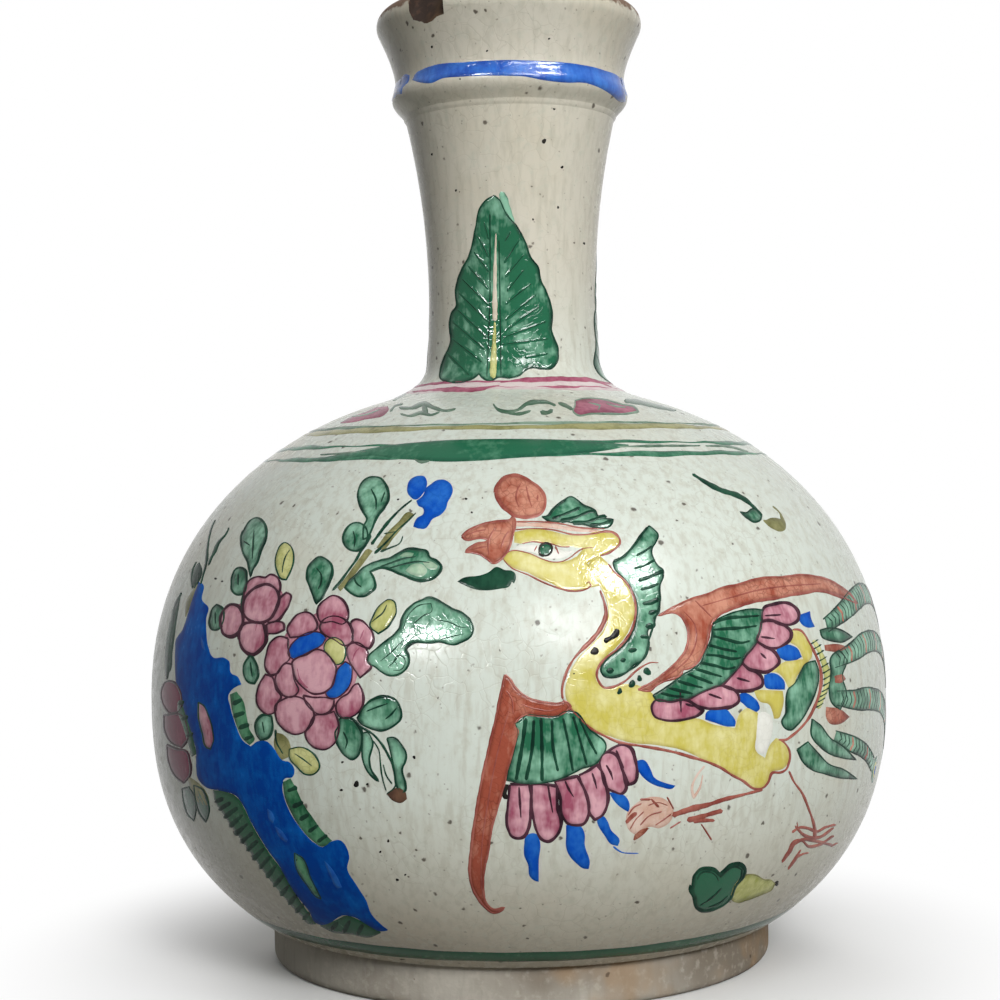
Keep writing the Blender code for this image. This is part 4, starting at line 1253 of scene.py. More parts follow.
CREST = [
    (542, 517), (547, 516), (551, 511), (563, 501), (571, 497), (577, 500), (583, 505), (590, 508),
    (596, 512), (597, 515), (613, 520), (610, 526), (604, 528), (581, 524), (568, 522), (546, 520)]
CREST_STROKES = [
    ([(548, 517), (557, 506), (566, 500)], 2), ([(552, 519), (566, 514), (580, 508)], 3), ([(560, 521),
    (575, 518), (590, 512), (596, 511)], 3.5), ([(572, 523), (588, 522), (600, 518), (607, 517)], 3.5),
    ([(590, 525), (603, 524), (611, 521)], 3)]
WATTLE = [
    (457, 582), (461, 579), (482, 575), (489, 572), (496, 567), (505, 570), (512, 571), (515, 573),
    (516, 579), (514, 584), (512, 582), (509, 587), (501, 589), (476, 590), (461, 584)]
HEAD_RED_LINES = [
    ([(515, 530), (528, 529), (553, 530), (575, 535), (595, 534), (605, 532), (613, 533), (618, 537),
    (620, 543), (616, 548), (609, 553), (600, 556)], (1.4, 1.4, 1.6, 1.8, 2, 3, 3, 2.4, 1.6)), ([(522, 544),
    (532, 542), (542, 543), (551, 544), (561, 547), (570, 547)], 1.3), (JAW_BAND[:6] + [(568, 559),
    (583, 549), (594, 548)], 1.3), ([(503, 559), (509, 566), (530, 576), (542, 582), (561, 589), (570, 591),
    (580, 591), (587, 589), (591, 586), (589, 582), (586, 584)], (1.2, 1.6, 2.2, 1.8)), ([(534, 552),
    (537, 546)], 2), ([(555, 546), (559, 555)], 2)]
HEAD_MAUVE_LINE = [(516, 522), (542, 522), (561, 524), (580, 528), (605, 529)]
HEAD_WASH = [(514, 524.5), (545, 525.5), (575, 529.5), (606, 532.5)]
NECK_LINES = [
    ([(600, 590), (605, 606), (606, 613), (601, 628), (592, 640), (580, 652), (574, 659), (565, 677),
    (562, 693), (563, 700)], (2, 3.4, 5, 4, 2.2, 3, 2.4)), ([(608, 564), (614, 572), (627, 583), (634, 597),
    (636, 605), (636, 613), (631, 632), (626, 640), (613, 653), (606, 658), (597, 672), (597, 677),
    (599, 682), (604, 688), (610, 688), (619, 685), (627, 680), (634, 673), (642, 667), (650, 663),
    (659, 663)], (2, 3, 3.4, 2.6, 2.8, 2.4, 1.2))]
PHOENIX_BODY = [
    (590, 562), (600, 556), (607, 562), (614, 571), (622, 579), (628, 587), (632, 596), (635, 614),
    (632, 624), (628, 633), (614, 650), (607, 656), (601, 663), (597, 670), (596, 678), (600, 685),
    (606, 688), (613, 688), (620, 685), (628, 684), (640, 686), (648, 690), (655, 697), (652, 712),
    (658, 719), (675, 720), (700, 719), (712, 724), (735, 728), (741, 712), (748, 708), (757, 712),
    (757, 735), (757, 752), (765, 758), (770, 745), (776, 738), (783, 741), (789, 750), (789, 760),
    (785, 768), (778, 771), (772, 772), (768, 782), (762, 789), (755, 789), (735, 776), (720, 769),
    (708, 763), (695, 756), (680, 750), (665, 747), (650, 745), (635, 744), (610, 737), (598, 733),
    (590, 728), (575, 714), (570, 707), (566, 699), (565, 690), (567, 680), (571, 670), (577, 660),
    (591, 645), (604, 629), (607, 621), (608, 612), (607, 604), (604, 595), (600, 587), (586, 572)]
RUMP_WHITE = [(757, 714), (764, 712), (771, 716), (773, 728), (770, 742), (765, 755), (757, 752), (756, 735)]
BELLY_LINE = [
    (563, 700), (580, 719), (590, 728), (604, 736), (620, 743), (639, 746), (662, 750), (676, 753),
    (693, 758), (707, 762), (721, 768), (733, 776), (743, 781), (755, 789), (763, 788), (768, 783),
    (773, 773), (780, 773), (786, 770), (789, 763), (790, 756), (788, 748), (783, 742), (780, 740)]
BODY_SPOTS_BLACK = [
    [(615, 628), (619, 629), (620, 635), (610, 642), (606, 645), (603, 642), (604, 638), (609, 636),
    (613, 631)], [(590, 651), (594, 646), (599, 649), (599, 654), (594, 656), (589, 654)]]
BODY_SPECKS = [(777, 884, 2.6), (574, 674, 1.6)]
BODY_SPOTS_GREEN = [(619.7, 691.7, 3.5), (632, 684.6, 4), (639.6, 678.8, 3), (647.3, 671.8, 4)]
MANE = [
    (649, 526), (654, 530), (658, 535), (656, 542), (652, 549), (655, 562), (659, 567), (663, 570),
    (663, 577), (660, 585), (660, 601), (658, 614), (654, 618), (654, 627), (649, 629), (649, 645),
    (647, 653), (644, 659), (634, 665), (627, 672), (618, 677), (610, 678), (604, 676), (601, 670),
    (604, 663), (611, 656), (620, 649), (628, 640), (633, 631), (636, 620), (637, 610), (636, 600),
    (632, 590), (627, 582), (614, 567), (613, 563), (622, 558), (636, 544), (646, 529)]
MANE_BARS = [
    ([(663, 571), (650, 577), (638, 581)], 4), ([(659, 584), (648, 588), (640, 590)], 3), ([(659, 599),
    (650, 603), (642, 604)], 5), ([(657, 611), (648, 614)], 5), ([(653, 625), (645, 627)], 5), ([(649, 637),
    (640, 637)], 5), ([(637, 650), (628, 651)], 5), ([(626, 660), (620, 661)], 6), ([(614, 671), (606, 671)],
    7), ([(655, 560), (644, 566), (634, 569)], 2.5), ([(652, 546), (644, 552), (636, 556)], 2.5),
    ([(613, 562), (622, 558), (632, 548), (640, 537), (648, 527)], 2), ([(663, 571), (663, 577), (660, 585),
    (660, 600), (657, 613), (653, 627), (649, 640), (643, 659), (627, 672), (610, 678)], 1.4)]
RIGHT_WING = [
    (638, 690), (655, 681), (670, 669), (678, 661), (685, 652), (688, 642), (688, 632), (685, 622),
    (678, 614), (669, 613), (659, 616), (680, 604), (692, 599), (708, 594), (722, 588), (737, 585),
    (753, 580), (765, 578), (785, 577), (804, 575), (817, 577), (830, 581), (842, 588), (851, 596),
    (857, 604), (838, 596), (830, 593), (817, 591), (804, 593), (791, 595), (778, 598), (763, 600),
    (750, 603), (727, 611), (718, 616), (713, 622), (710, 629), (708, 640), (701, 656), (696, 664),
    (688, 669), (683, 670), (681, 675), (673, 679), (663, 682), (656, 686), (650, 691)]
RIGHT_WING_LINES = [
    RIGHT_WING[10:23], [(695, 601), (705, 611), (712, 618)], [(684, 612), (694, 624), (696, 640), (690, 656),
    (676, 670), (660, 681)], [(702, 606), (730, 598), (760, 590), (790, 586), (820, 584)]]
RIGHT_FAN = [
    (762, 610), (751, 609), (740, 611), (727, 615), (715, 622), (712, 627), (712, 636), (705, 652),
    (700, 664), (692, 670), (683, 675), (673, 683), (653, 696), (656, 700), (669, 701), (683, 700),
    (706, 690), (718, 686), (733, 673), (740, 665), (745, 656), (751, 650), (756, 642), (760, 632),
    (762, 620)]
RIGHT_FAN_HATCHES = [
    [(712, 624), (725, 619), (745, 617), (759, 616)], [(713, 630), (728, 629), (742, 628), (757, 626)],
    [(712, 636), (727, 640), (742, 643), (750, 641)], [(708, 645), (722, 649), (737, 652)], [(705, 655),
    (718, 656), (733, 659), (741, 658)], [(701, 663), (715, 666), (728, 669), (736, 667)], [(695, 669),
    (708, 673), (722, 677)], [(687, 674), (700, 679), (713, 684)], [(677, 681), (690, 685), (703, 688)],
    [(668, 688), (680, 691), (693, 694)], [(660, 693), (672, 696), (684, 697)]]
RIGHT_FEATHERS = [
    [(762, 613), (764, 608), (772, 605), (789, 604), (795, 608), (798, 613), (798, 619), (792, 624),
    (785, 625), (768, 620), (762, 621)], [(761, 622), (768, 621), (786, 627), (791, 633), (790, 639),
    (785, 644), (777, 648), (769, 648), (762, 645), (757, 641), (759, 632)], [(757, 642), (764, 647),
    (771, 650), (777, 656), (779, 662), (774, 668), (766, 672), (757, 671), (748, 668), (743, 663),
    (745, 657), (751, 650)], [(742, 664), (749, 670), (757, 673), (762, 679), (762, 685), (756, 689),
    (747, 691), (738, 691), (729, 689), (722, 686), (735, 672)], [(721, 686), (738, 695), (739, 700),
    (733, 706), (725, 708), (704, 708), (695, 705), (688, 700), (708, 690)], [(655, 701), (670, 702),
    (684, 700), (700, 709), (703, 711), (697, 716), (688, 719), (663, 720), (655, 717), (652, 711),
    (652, 705)]]
RIGHT_FEATHER_RIBS = [
    [(764, 616), (781, 615)], [(773, 622), (786, 627)], [(760, 637), (775, 639)], [(760, 653), (766, 659)],
    [(685, 704), (694, 707)], [(708, 694), (722, 699)], [(680, 691), (681, 713)], [(736, 678), (750, 682)]]
RIGHT_TIPS = [
    [(799, 615), (810, 611), (811, 618), (815, 627), (808, 628), (801, 624), (799, 620)], [(777, 648),
    (783, 645), (791, 645), (797, 648), (802, 657), (797, 660), (786, 661), (777, 654)], [(764, 675),
    (773, 673), (781, 677), (785, 683), (785, 690), (777, 690), (765, 687), (764, 682)], [(738, 698),
    (740, 694), (745, 693), (753, 697), (759, 704), (760, 709), (756, 713), (750, 710), (744, 705)],
    [(705, 720), (706, 713), (714, 709), (726, 709), (731, 714), (736, 723), (735, 727), (727, 727),
    (717, 724)]]
RUMP_FEATHERS = [
    [(791, 630), (797, 630), (803, 634), (812, 650), (812, 657), (804, 666), (797, 677), (792, 687),
    (788, 688), (783, 678), (777, 673), (770, 673), (782, 663), (803, 659), (797, 647), (790, 643),
    (792, 637)], [(753, 690), (765, 690), (783, 691), (784, 701), (782, 711), (778, 719), (774, 719),
    (772, 711), (769, 705), (760, 702)]]
RUMP_ARC = [
    (792, 630), (799, 630), (809, 643), (818, 661), (821, 672), (821, 683), (819, 695), (815, 706),
    (809, 718), (801, 728), (792, 736), (786, 740), (778, 740)]
TAIL_ROOT = [
    (805, 664), (815, 661), (818, 670), (818, 682), (815, 693), (810, 705), (797, 725), (791, 730),
    (785, 728), (782, 723), (786, 713), (786, 701), (788, 690), (795, 683), (800, 673)]
LEFT_WING = [
    (505, 675), (510, 680), (515, 688), (532, 700), (545, 703), (558, 704), (568, 703), (571, 707),
    (566, 712), (558, 716), (534, 716), (524, 716), (518, 720), (515, 726), (518, 731), (517, 739),
    (513, 752), (507, 774), (504, 787), (500, 800), (496, 814), (492, 827), (490, 840), (488, 853),
    (485, 866), (483, 890), (484, 899), (488, 907), (494, 911), (504, 909), (500, 912), (494, 914),
    (486, 909), (478, 899), (473, 890), (470, 877), (470, 862), (472, 843), (474, 827), (477, 808),
    (481, 785), (486, 761), (491, 739), (496, 718), (500, 697), (503, 683)]
LEFT_WING_LINES = [
    [(510, 707), (496, 760), (488, 803), (482, 846), (481, 891)], [(520, 704), (534, 709), (550, 711),
    (562, 708)], [(506, 690), (512, 700), (513, 714)]]
LEFT_FAN = [
    (515, 724), (521, 721), (526, 716), (539, 716), (558, 716), (565, 712), (574, 712), (589, 729),
    (606, 748), (601, 758), (597, 763), (582, 769), (568, 776), (555, 781), (539, 784), (523, 784),
    (507, 781), (508, 773), (512, 760), (516, 744), (518, 732)]
LEFT_FAN_HATCHES = [
    ([(526, 718), (522, 747), (516, 781)], 4), ([(534, 720), (532, 750), (526, 781)], 3.5), ([(541, 718),
    (542, 750), (542, 782)], 3.5), ([(552, 720), (553, 747), (558, 772)], 3), ([(563, 718), (568, 742),
    (573, 772)], 2.5), ([(573, 716), (581, 744), (587, 766)], 2.5), ([(579, 718), (590, 742), (597, 755)],
    2.5)]
LEFT_FEATHERS = [
    [(510, 785), (529, 785), (531, 795), (531, 808), (530, 821), (528, 830), (524, 837), (518, 839),
    (512, 837), (508, 829), (508, 806), (509, 795)], [(532, 785), (545, 785), (557, 787), (558, 811),
    (561, 821), (560, 830), (555, 838), (548, 842), (542, 840), (537, 832), (534, 821), (532, 808),
    (532, 795)], [(555, 782), (577, 777), (582, 785), (587, 797), (589, 808), (588, 817), (584, 824),
    (576, 826), (568, 824), (563, 817), (560, 795)], [(579, 776), (589, 771), (597, 765), (603, 774),
    (606, 785), (608, 798), (606, 809), (601, 817), (595, 820), (590, 814), (589, 803), (581, 782)],
    [(600, 761), (606, 753), (616, 755), (621, 766), (625, 781), (626, 789), (622, 794), (614, 792),
    (608, 789), (601, 769)], [(608, 752), (616, 747), (622, 745), (630, 748), (635, 760), (637, 773),
    (635, 782), (629, 785), (621, 766), (616, 756)]]
LEFT_FEATHER_RIBS = [
    [(519, 787), (520, 803), (521, 819)], [(548, 785), (550, 798), (553, 814)], [(565, 781), (569, 790),
    (574, 798)], [(592, 773), (595, 782), (597, 790)], [(606, 765), (611, 774), (613, 781)], [(616, 750),
    (620, 760), (624, 769)]]
LEFT_TIPS = [
    [(526, 837), (531, 834), (537, 835), (540, 842), (539, 862), (539, 883), (535, 882), (530, 878),
    (528, 866), (524, 856), (524, 846)], [(566, 826), (574, 824), (582, 828), (585, 835), (585, 845),
    (590, 864), (589, 870), (585, 870), (576, 864), (569, 856), (566, 848), (566, 837)], [(597, 817),
    (604, 817), (608, 822), (611, 830), (620, 842), (618, 847), (611, 845), (605, 837), (597, 822)],
    [(609, 793), (617, 793), (626, 797), (630, 806), (629, 813), (622, 809), (613, 800)], [(637, 761),
    (643, 760), (651, 770), (654, 777), (668, 784), (676, 786), (673, 789), (662, 788), (653, 785),
    (640, 774), (637, 768)]]
LEFT_WISP = [(613, 847), (622, 853), (632, 854), (639, 854)]
LEFT_WING_MARK = [(508, 785), (506, 788), (504, 794), (507, 800)]
LEGS = [
    ([(763, 790), (740, 796), (724, 800), (709, 805), (693, 809), (672, 816)], (2.5, 3.2, 4, 5, 6, 6)),
    ([(687, 821), (699, 818), (712, 814), (723, 811)], 5), ([(693, 822), (702, 821), (715, 821)], 4),
    ([(701, 824), (707, 833), (712, 841)], 1.8), ([(670, 829), (681, 822)], 1.8), ([(626, 824), (631, 818),
    (637, 813)], 5), ([(651, 799), (659, 808)], 3), ([(667, 797), (674, 810)], 1.6), ([(630, 830), (636, 820),
    (644, 812)], 1.6), ([(640, 826), (650, 816), (662, 812)], 1.8), ([(648, 806), (658, 803), (668, 806)],
    1.4), ([(655, 826), (664, 820), (672, 814)], 1.6), ([(628, 816), (634, 808), (642, 804)], 1.6),
    ([(795, 826), (805, 836), (818, 838), (834, 828)], (2, 4, 2)), ([(797, 840), (790, 852), (783, 862)],
    (3, 4, 2)), ([(801, 850), (794, 862), (788, 870)], (2, 3.4, 2)), ([(793, 846), (803, 840), (818, 842),
    (833, 846)], (2, 4, 3)), ([(640, 800), (651, 800)], 2.5), ([(789, 771), (794, 782), (802, 793),
    (808, 807), (815, 831), (815, 841)], (2.2, 2.5, 2.8, 4)), ([(792, 833), (800, 828), (809, 829),
    (817, 832), (825, 828), (836, 825)], 3), ([(797, 822), (798, 829)], 1.2), ([(782, 863), (789, 852),
    (796, 841), (802, 841), (809, 847), (817, 846), (834, 836)], 3), ([(831, 847), (838, 843)], 1.5),
    ([(789, 869), (794, 861), (802, 855), (809, 853)], 2)]
CLAW_WASH = [
    (627, 814), (636, 804), (655, 797), (666, 800), (674, 812), (669, 824), (660, 829), (648, 828),
    (640, 836), (630, 832)]
LEG_LOOP = [(705, 766), (697, 776), (692, 790), (694, 798), (700, 788), (703, 775)]
FALLEN_LEAF = [(633, 842), (635, 835), (642, 829), (650, 828), (646, 833), (639, 839)]
HEART_LEAF = [
    (693, 886), (695, 876), (701, 870), (709, 869), (715, 871), (720, 876), (732, 866), (740, 865),
    (745, 870), (743, 878), (736, 886), (730, 900), (723, 906), (713, 910), (702, 911), (697, 908),
    (695, 898), (692, 890)]
HEART_LOOPS = [
    [(697, 880), (702, 873), (709, 872), (716, 876), (719, 882)], [(720, 878), (727, 871), (736, 867),
    (742, 870), (741, 878), (735, 886)], [(700, 906), (712, 898), (722, 888)], [(728, 896), (720, 903),
    (708, 908)]]
HEART_BUD = [
    (733, 890), (749, 875), (757, 876), (764, 880), (772, 881), (775, 884), (772, 890), (764, 894),
    (746, 901), (738, 903), (732, 900)]
GRASS_STROKE = [
    (692, 474), (710, 485), (720, 490), (738, 496), (745, 500), (757, 511), (762, 517)]
GRASS_LEAF = [
    (752, 509), (758, 511), (761, 516), (760, 520), (755, 522), (748, 519), (740, 512), (746, 513)]
GRASS_HOOK = [
    (761, 518), (765, 520), (770, 518), (777, 518), (780, 519), (779, 514), (772, 507), (770, 504),
    (776, 508), (784, 519), (786, 525), (785, 530), (780, 532), (774, 530), (763, 521)]


def paint_phoenix():
    yellow, white, red, red_lines, green, hatches = (Coat() for _ in range(6))
    rose, plum, blue, black, wash, bud, olive = (Coat() for _ in range(7))
    yellow.fill(PHOENIX_BODY, shade=0.6, lift=0.09)
    yellow.fill(HEAD_BAND, shade=0.6, lift=0.12)
    yellow.fill(JAW_BAND, shade=0.6, lift=0.11)
    yellow.fills(RUMP_FEATHERS, shade=0.7, lift=0.11)
    white.fills((RUMP_WHITE, EYE_WHITE), shade=0.5, lift=0.13)
    white.dot(*EYE_GLINT, lift=0.25)
    for shape, shade in ((COMB, 0.4), (BEAK, 0.4), (RIGHT_WING, 0.35), (LEFT_WING, 1.0)):
        red.fill(shape, shade=shade, lift=0.12)
        red_lines.line(shape, (3, 2.2, 3.4, 2.4), closed=True, lift=0.16)
    red.fill(FALLEN_LEAF, shade=0.4)
    red_lines.line(COMB, (5, 3.4, 4.4), closed=True, lift=0.17)
    red_lines.lines(COMB_LINES + BEAK_LINES + RIGHT_WING_LINES + LEFT_WING_LINES, (1.4, 2.8, 1.6), lift=0.18)
    red_lines.strokes(HEAD_RED_LINES + NECK_LINES + LEGS, lift=0.17)
    red_lines.lines((BELLY_LINE, RUMP_ARC), (2.4, 3.2, 2.4), lift=0.16)
    red_lines.line(HEAD_MAUVE_LINE, 1.8, lift=0.14)
    for shape, shade in ((CREST, 0.6), (MANE, 0.45), (RIGHT_FAN, 0.7), (LEFT_FAN, 0.65), (TAIL_ROOT, 0.6),
                         (HEART_LEAF, 2.2), (GRASS_LEAF, 0.6)):
        green.fill(shape, shade=shade, lift=0.13)
        hatches.line(shape, (1.6, 2.2, 1.4), closed=True, lift=0.18)
    green.fill(EYE, shade=1.2, lift=0.17)
    hatches.strokes(CREST_STROKES + MANE_BARS + LEFT_FAN_HATCHES, share=1.45, lift=0.21)
    hatches.lines(RIGHT_FAN_HATCHES, (4, 5, 3), lift=0.21)
    hatches.line(HEART_LEAF, (3, 5, 3, 6), closed=True, lift=0.2)
    hatches.lines(HEART_LOOPS, (2, 3.4, 2), lift=0.21)
    hatches.fill(WATTLE, shade=0.3, lift=0.13)
    hatches.line(GRASS_STROKE, (3, 4.5, 6, 4, 3.5), lift=0.14)
    hatches.dots(BODY_SPOTS_GREEN)
    hatches.dot(*PUPIL, shade=0.6, lift=0.2)
    rose.fills(RIGHT_FEATHERS + LEFT_FEATHERS, shade=0.5, lift=0.11)
    plum.lines(RIGHT_FEATHERS + LEFT_FEATHERS, (3, 4.6, 3.4, 2.8), closed=True, lift=0.17)
    plum.lines(RIGHT_FEATHER_RIBS + LEFT_FEATHER_RIBS, (2.6, 3.8, 1.8), lift=0.17)
    blue.fills(RIGHT_TIPS + LEFT_TIPS, shade=0.6, lift=0.13)
    blue.line(LEFT_WISP, (2, 1.4, 1), lift=0.12)
    black.fills(BODY_SPOTS_BLACK, lift=0.15)
    black.line(EYE, (2, 3.6, 2.4), closed=True, lift=0.2)
    black.line(LEFT_WING_MARK, (7, 5, 5), lift=0.16)
    black.dots(BODY_SPECKS)
    wash.fill(CLAW_WASH, shade=0.5, lift=0.06)
    wash.line(LEG_LOOP, (1.5, 3, 1.5), shade=0.5, lift=0.08)
    wash.line(HEAD_WASH, (4, 4.6, 2.6), shade=0.6, lift=0.06)
    bud.fill(HEART_BUD, shade=0.5, lift=0.12)
    olive.line(HEART_BUD, 1.3, closed=True, lift=0.16)
    olive.fill(GRASS_HOOK, shade=0.5, lift=0.11)
    wash.laid("claw_wash", PALE_RED)
    bud.laid("low_bud", BUD_GREEN)
    olive.laid("grass_hook", OLIVE)
    yellow.laid("phoenix_body", YELLOW)
    white.laid("phoenix_lights", WHITE)
    red.laid("phoenix_red", IRON_RED)
    red_lines.laid("phoenix_red_lines", RED_LINE)
    green.laid("phoenix_green", GREEN)
    hatches.laid("phoenix_hatches", DEEP_GREEN)
    rose.laid("phoenix_feathers", ROSE)
    plum.laid("feather_outlines", PLUM)
    blue.laid("feather_tips", BRIGHT_BLUE, "blue_enamel")
    black.laid("phoenix_marks", BLACK)


# The phoenix's tail, on the right-hand side. What the front hides is drawn on a sheet turned to face it.
SIDE_TURN = radians(60)
# a bar crosses a plume at every fifth point of its middle line, and every fifth bar is red
BAR_STEP = 5
RED_BAR = 3
BAR_REACH = 0.9
TAIL_PLUMES = [
    ([(447, 643), (490, 632), (540, 620), (590, 614), (640, 620), (680, 640), (704, 668)], 24), ([(449, 682),
    (495, 676), (550, 668), (605, 672), (652, 692), (684, 726)], 24), ([(449, 722), (490, 728), (545, 732),
    (600, 742), (645, 764), (670, 796)], 25), ([(445, 762), (480, 774), (530, 790), (575, 812)], 17)]
TAIL_STRAND = [(813, 640), (819, 650), (824, 663), (827, 675), (826, 688), (822, 698), (818, 709)]
TAIL_GREENS = [
    [(820, 630), (830, 628), (843, 631), (852, 637), (842, 642), (832, 641), (822, 637)], [(831, 657),
    (838, 650), (846, 660), (842, 676), (846, 694), (840, 710), (832, 703), (829, 690), (831, 674)],
    [(812, 719), (820, 725), (830, 738), (842, 746), (856, 760), (842, 758), (830, 754), (819, 746),
    (812, 737)], [(797, 750), (808, 742), (817, 752), (830, 765), (842, 769), (857, 779), (840, 778),
    (825, 774), (812, 770), (803, 762)]]
TAIL_REDS = [
    [(833, 675), (842, 674), (846, 679), (841, 684), (833, 684)], [(826, 707), (840, 709), (850, 717),
    (841, 724), (830, 724), (826, 718)], [(824, 645), (838, 644), (850, 648), (839, 652), (825, 651)]]


def paint_plume(spine, width, green, bars, red, blue, gold):
    """A long tail plume: swollen beyond its root, barred across, and with an eye at its tip."""
    path = flowing(spine, spacing=2.0)
    run = np.gradient(path, axis=0)
    run /= np.linalg.norm(run, axis=1)[:, None]
    side = 0.5 * width * np.stack([-run[:, 1], run[:, 0]], 1)
    swollen = np.interp(np.arange(len(path)), [0, len(path) * 0.3, len(path)], [0.6, 1, 0.9])[:, None]
    edges = [path + sign * swollen * side for sign in (1, -1)]
    green.fill(np.vstack([edges[0][::4], edges[1][::-4]]), shade=0.45, lift=0.12)
    for edge in edges:
        bars.line(edge[::5], (1.6, 2.4, 1.8), lift=0.17)
    for place, step in enumerate(range(BAR_STEP, len(path) - 7, BAR_STEP)):
        start, end = (edge[step] * BAR_REACH + path[step] * 0.1 for edge in edges)
        bar = [start, path[min(step + 3, len(path) - 1)], end]
        if place % 5 == RED_BAR:
            red.line(bar, 8, lift=0.15)
        else:
            bars.line(bar, (2.4, 3, 2.4), lift=0.18)
    tip = path[-1] + 0.55 * width * run[-1]
    green.dot(*tip, 0.8 * width, shade=0.5, lift=0.14)
    gold.dot(*tip, 0.56 * width, lift=0.18)
    blue.dot(*tip, 0.38 * width, lift=0.21)
    bars.dot(*tip, 0.18 * width, lift=0.25)


def paint_tail():
    green, bars, red, blue, gold = (Coat(SIDE_TURN, SIDE_TURN + pi) for _ in range(5))
    for spine, width in TAIL_PLUMES:
        paint_plume(spine, width, green, bars, red, blue, gold)
    front_green, front_bars, front_red, strand = (Coat() for _ in range(4))
    front_green.fills(TAIL_GREENS, shade=0.6, lift=0.12)
    front_bars.lines(TAIL_GREENS, 1.6, closed=True, lift=0.16)
    front_red.fills(TAIL_REDS, shade=0.6, lift=0.15)
    strand.line(TAIL_STRAND, (4, 6, 6, 4), shade=0.4, lift=0.13)
    for (column, row), (after_column, after_row) in zip(TAIL_STRAND, TAIL_STRAND[1:]):
        for share in (0.2, 0.7):
            x, y = column + share * (after_column - column), row + share * (after_row - row)
            front_bars.line([(x - 4, y + 2.5), (x + 4, y - 2.5)], 1.8, lift=0.18)
    green.laid("tail_plumes", GREEN)
    bars.laid("tail_bars", DEEP_GREEN)
    red.laid("tail_red_blocks", IRON_RED)
    blue.laid("tail_eyes", BRIGHT_BLUE, "blue_enamel")
    gold.laid("tail_eye_rings", YELLOW)
    front_green.laid("tail_root_greens", GREEN)
    front_bars.laid("tail_root_bars", DEEP_GREEN)
    front_red.laid("tail_root_reds", IRON_RED)
    strand.laid("tail_strand", BUD_GREEN)


paint_borders()
paint_neck_leaves()
paint_rock()
paint_flowers()
paint_leaves()
paint_phoenix()
paint_tail()


# Floor, light and camera

FLOOR_BOUNCE = (0.08, 0.08, 0.07, 1)
FLOOR_SEEN = (0.86, 0.86, 0.85, 1)
WORLD_LIGHT = (0.07, 0.07, 0.07, 1)
WHITE_LIGHT = (1, 1, 1, 1)
VASE_MIDDLE = (0, 0, 0.12)
SENSOR_WIDTH = 36
NEAREST_SEEN = 10 * MM


def seen_directly(tree):
    """1 for what the camera, a gloss or a clear surface shows, and 0 for light that is scattered."""
    rays = node(tree, "ShaderNodeLightPath").outputs
    shown_rays = maths(tree, "MAXIMUM", rays["Is Camera Ray"], rays["Is Glossy Ray"])
    return maths(tree, "MAXIMUM", shown_rays, rays["Is Transmission Ray"])


def make_floor():
    """A pale floor that keeps the vase's shadow near its foot and fades into the white behind it."""
    bpy.ops.object.select_all(action="DESELECT")
    bpy.ops.mesh.primitive_circle_add(vertices=128, radius=3, fill_type="NGON")
    floor = bpy.context.object
    floor.name = "floor"
    material, tree, shader, place = new_material("pale_floor", 0.9, 0.5)
    away = node(tree, "ShaderNodeVectorMath", {0: place}, operation="LENGTH").outputs["Value"]
    fade = steps_between(tree, away, 0.065, 0.16)
    seen = seen_directly(tree)
    bounced = blend(tree, seen, FLOOR_BOUNCE, FLOOR_SEEN)
    tree.links.new(bounced, shader.inputs["Base Color"])
    white = node(tree, "ShaderNodeEmission", {"Color": WHITE_LIGHT, "Strength": 1.0})
    mix = node(tree, "ShaderNodeMixShader", {0: times(tree, fade, seen)})
    tree.links.new(shader.outputs[0], mix.inputs[1])
    tree.links.new(white.outputs[0], mix.inputs[2])
    tree.links.new(mix.outputs[0], tree.nodes["Material Output"].inputs["Surface"])
    floor.data.materials.append(material)


def make_world():
    """A dim world that lights the vase from all sides, and shows white behind it and in its gloss."""
    world = bpy.data.worlds.new("studio")
    bpy.context.scene.world = world
    world.use_nodes = True
    tree = world.node_tree
    seen = seen_directly(tree)
    colour = blend(tree, seen, WORLD_LIGHT, WHITE_LIGHT)
    tree.links.new(colour, tree.nodes["Background"].inputs["Color"])


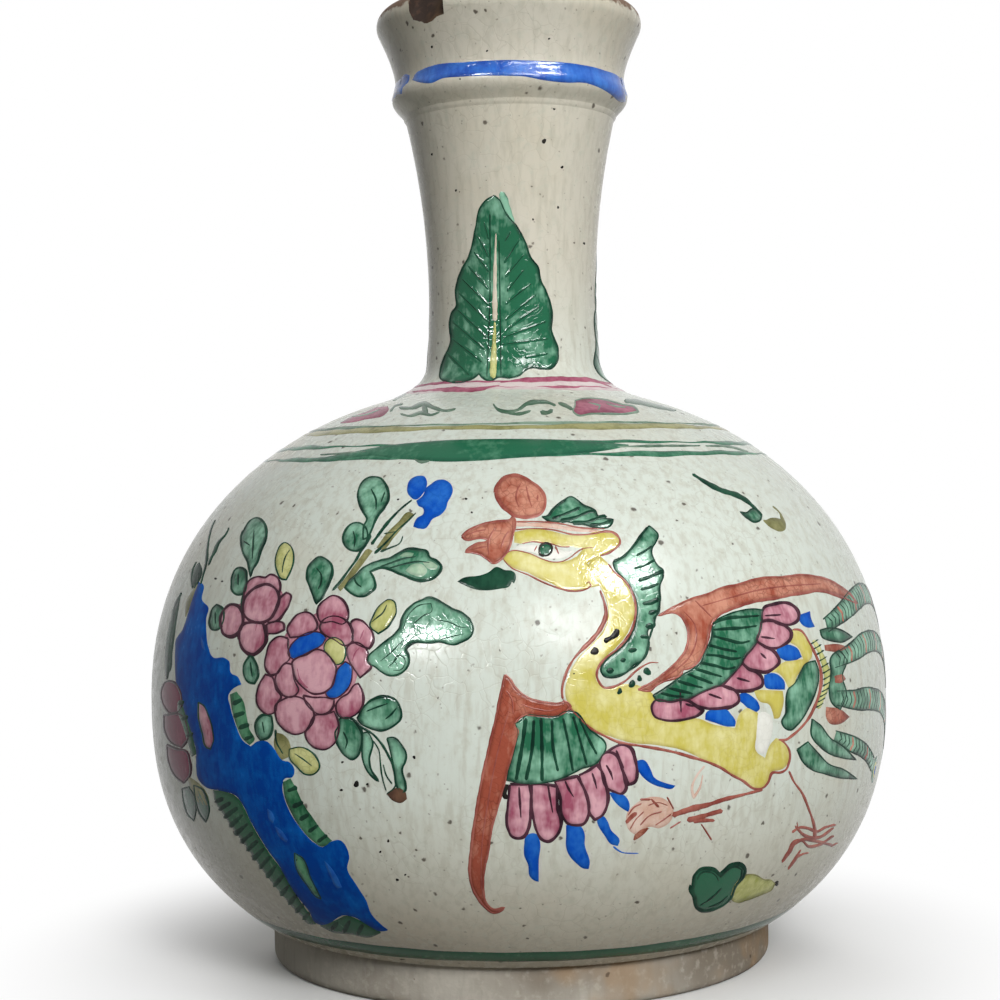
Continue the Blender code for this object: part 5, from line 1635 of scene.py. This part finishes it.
def lamp(name, place, aim, width, height, power, lights=True, glints=True):
    """A rectangular soft box, aimed at a point, that lights the vase, glints in its gloss, or both."""
    light = bpy.data.lights.new(name, "AREA")
    light.shape = "RECTANGLE"
    light.size, light.size_y = width, height
    light.energy = power
    box = bpy.data.objects.new(name, light)
    bpy.context.collection.objects.link(box)
    box.visible_diffuse, box.visible_glossy = lights, glints
    box.location = place
    box.rotation_euler = (Vector(aim) - Vector(place)).to_track_quat("-Z", "Y").to_euler()


def make_camera():
    """The camera at the eye's height, aimed so that the sheet's middle row and column are in the middle."""
    camera = bpy.data.objects.new("camera", bpy.data.cameras.new("camera"))
    bpy.context.collection.objects.link(camera)
    bpy.context.scene.camera = camera
    camera.data.lens = LENS
    camera.data.sensor_width = SENSOR_WIDTH
    camera.data.clip_start = NEAREST_SEEN
    eye = Vector((0, -VIEW_DISTANCE, EYE_HEIGHT))
    aim = Vector(((MIDDLE_ROW - AXIS_COLUMN) * SHEET_UNIT, 0,
                  EYE_HEIGHT - (MIDDLE_ROW - EYE_ROW) * SHEET_UNIT))
    turn = (aim - eye).to_track_quat("-Z", "Y").to_matrix() @ Matrix.Rotation(HEAD_TILT, 3, "Z")
    camera.rotation_euler = turn.to_euler()
    camera.location = eye


make_floor()
make_world()
# two soft boxes in front and one behind light the vase, and three windows are only seen in its gloss
lamp("key_light", (0.5, -1.35, 0.78), VASE_MIDDLE, width=0.45, height=0.45, power=20)
lamp("high_fill", (0.4, -0.95, 1.38), VASE_MIDDLE, width=0.7, height=0.6, power=6)
lamp("back_fill", (-0.35, 1.5, 0.6), VASE_MIDDLE, width=0.6, height=0.6, power=13, glints=False)
lamp("left_window", (-0.59, -1.12, 0.6), (0, 0, 0.1), width=0.3, height=0.17, power=20, lights=False)
lamp("front_window", (0.18, -1.21, 0.75), VASE_MIDDLE, width=0.2, height=0.34, power=8, lights=False)
lamp("high_window", (0.67, -0.74, 1.04), (0.03, -0.08, 0.11), width=0.4, height=0.26, power=24, lights=False)
make_camera()
bpy.context.scene.view_settings.view_transform = "Standard"
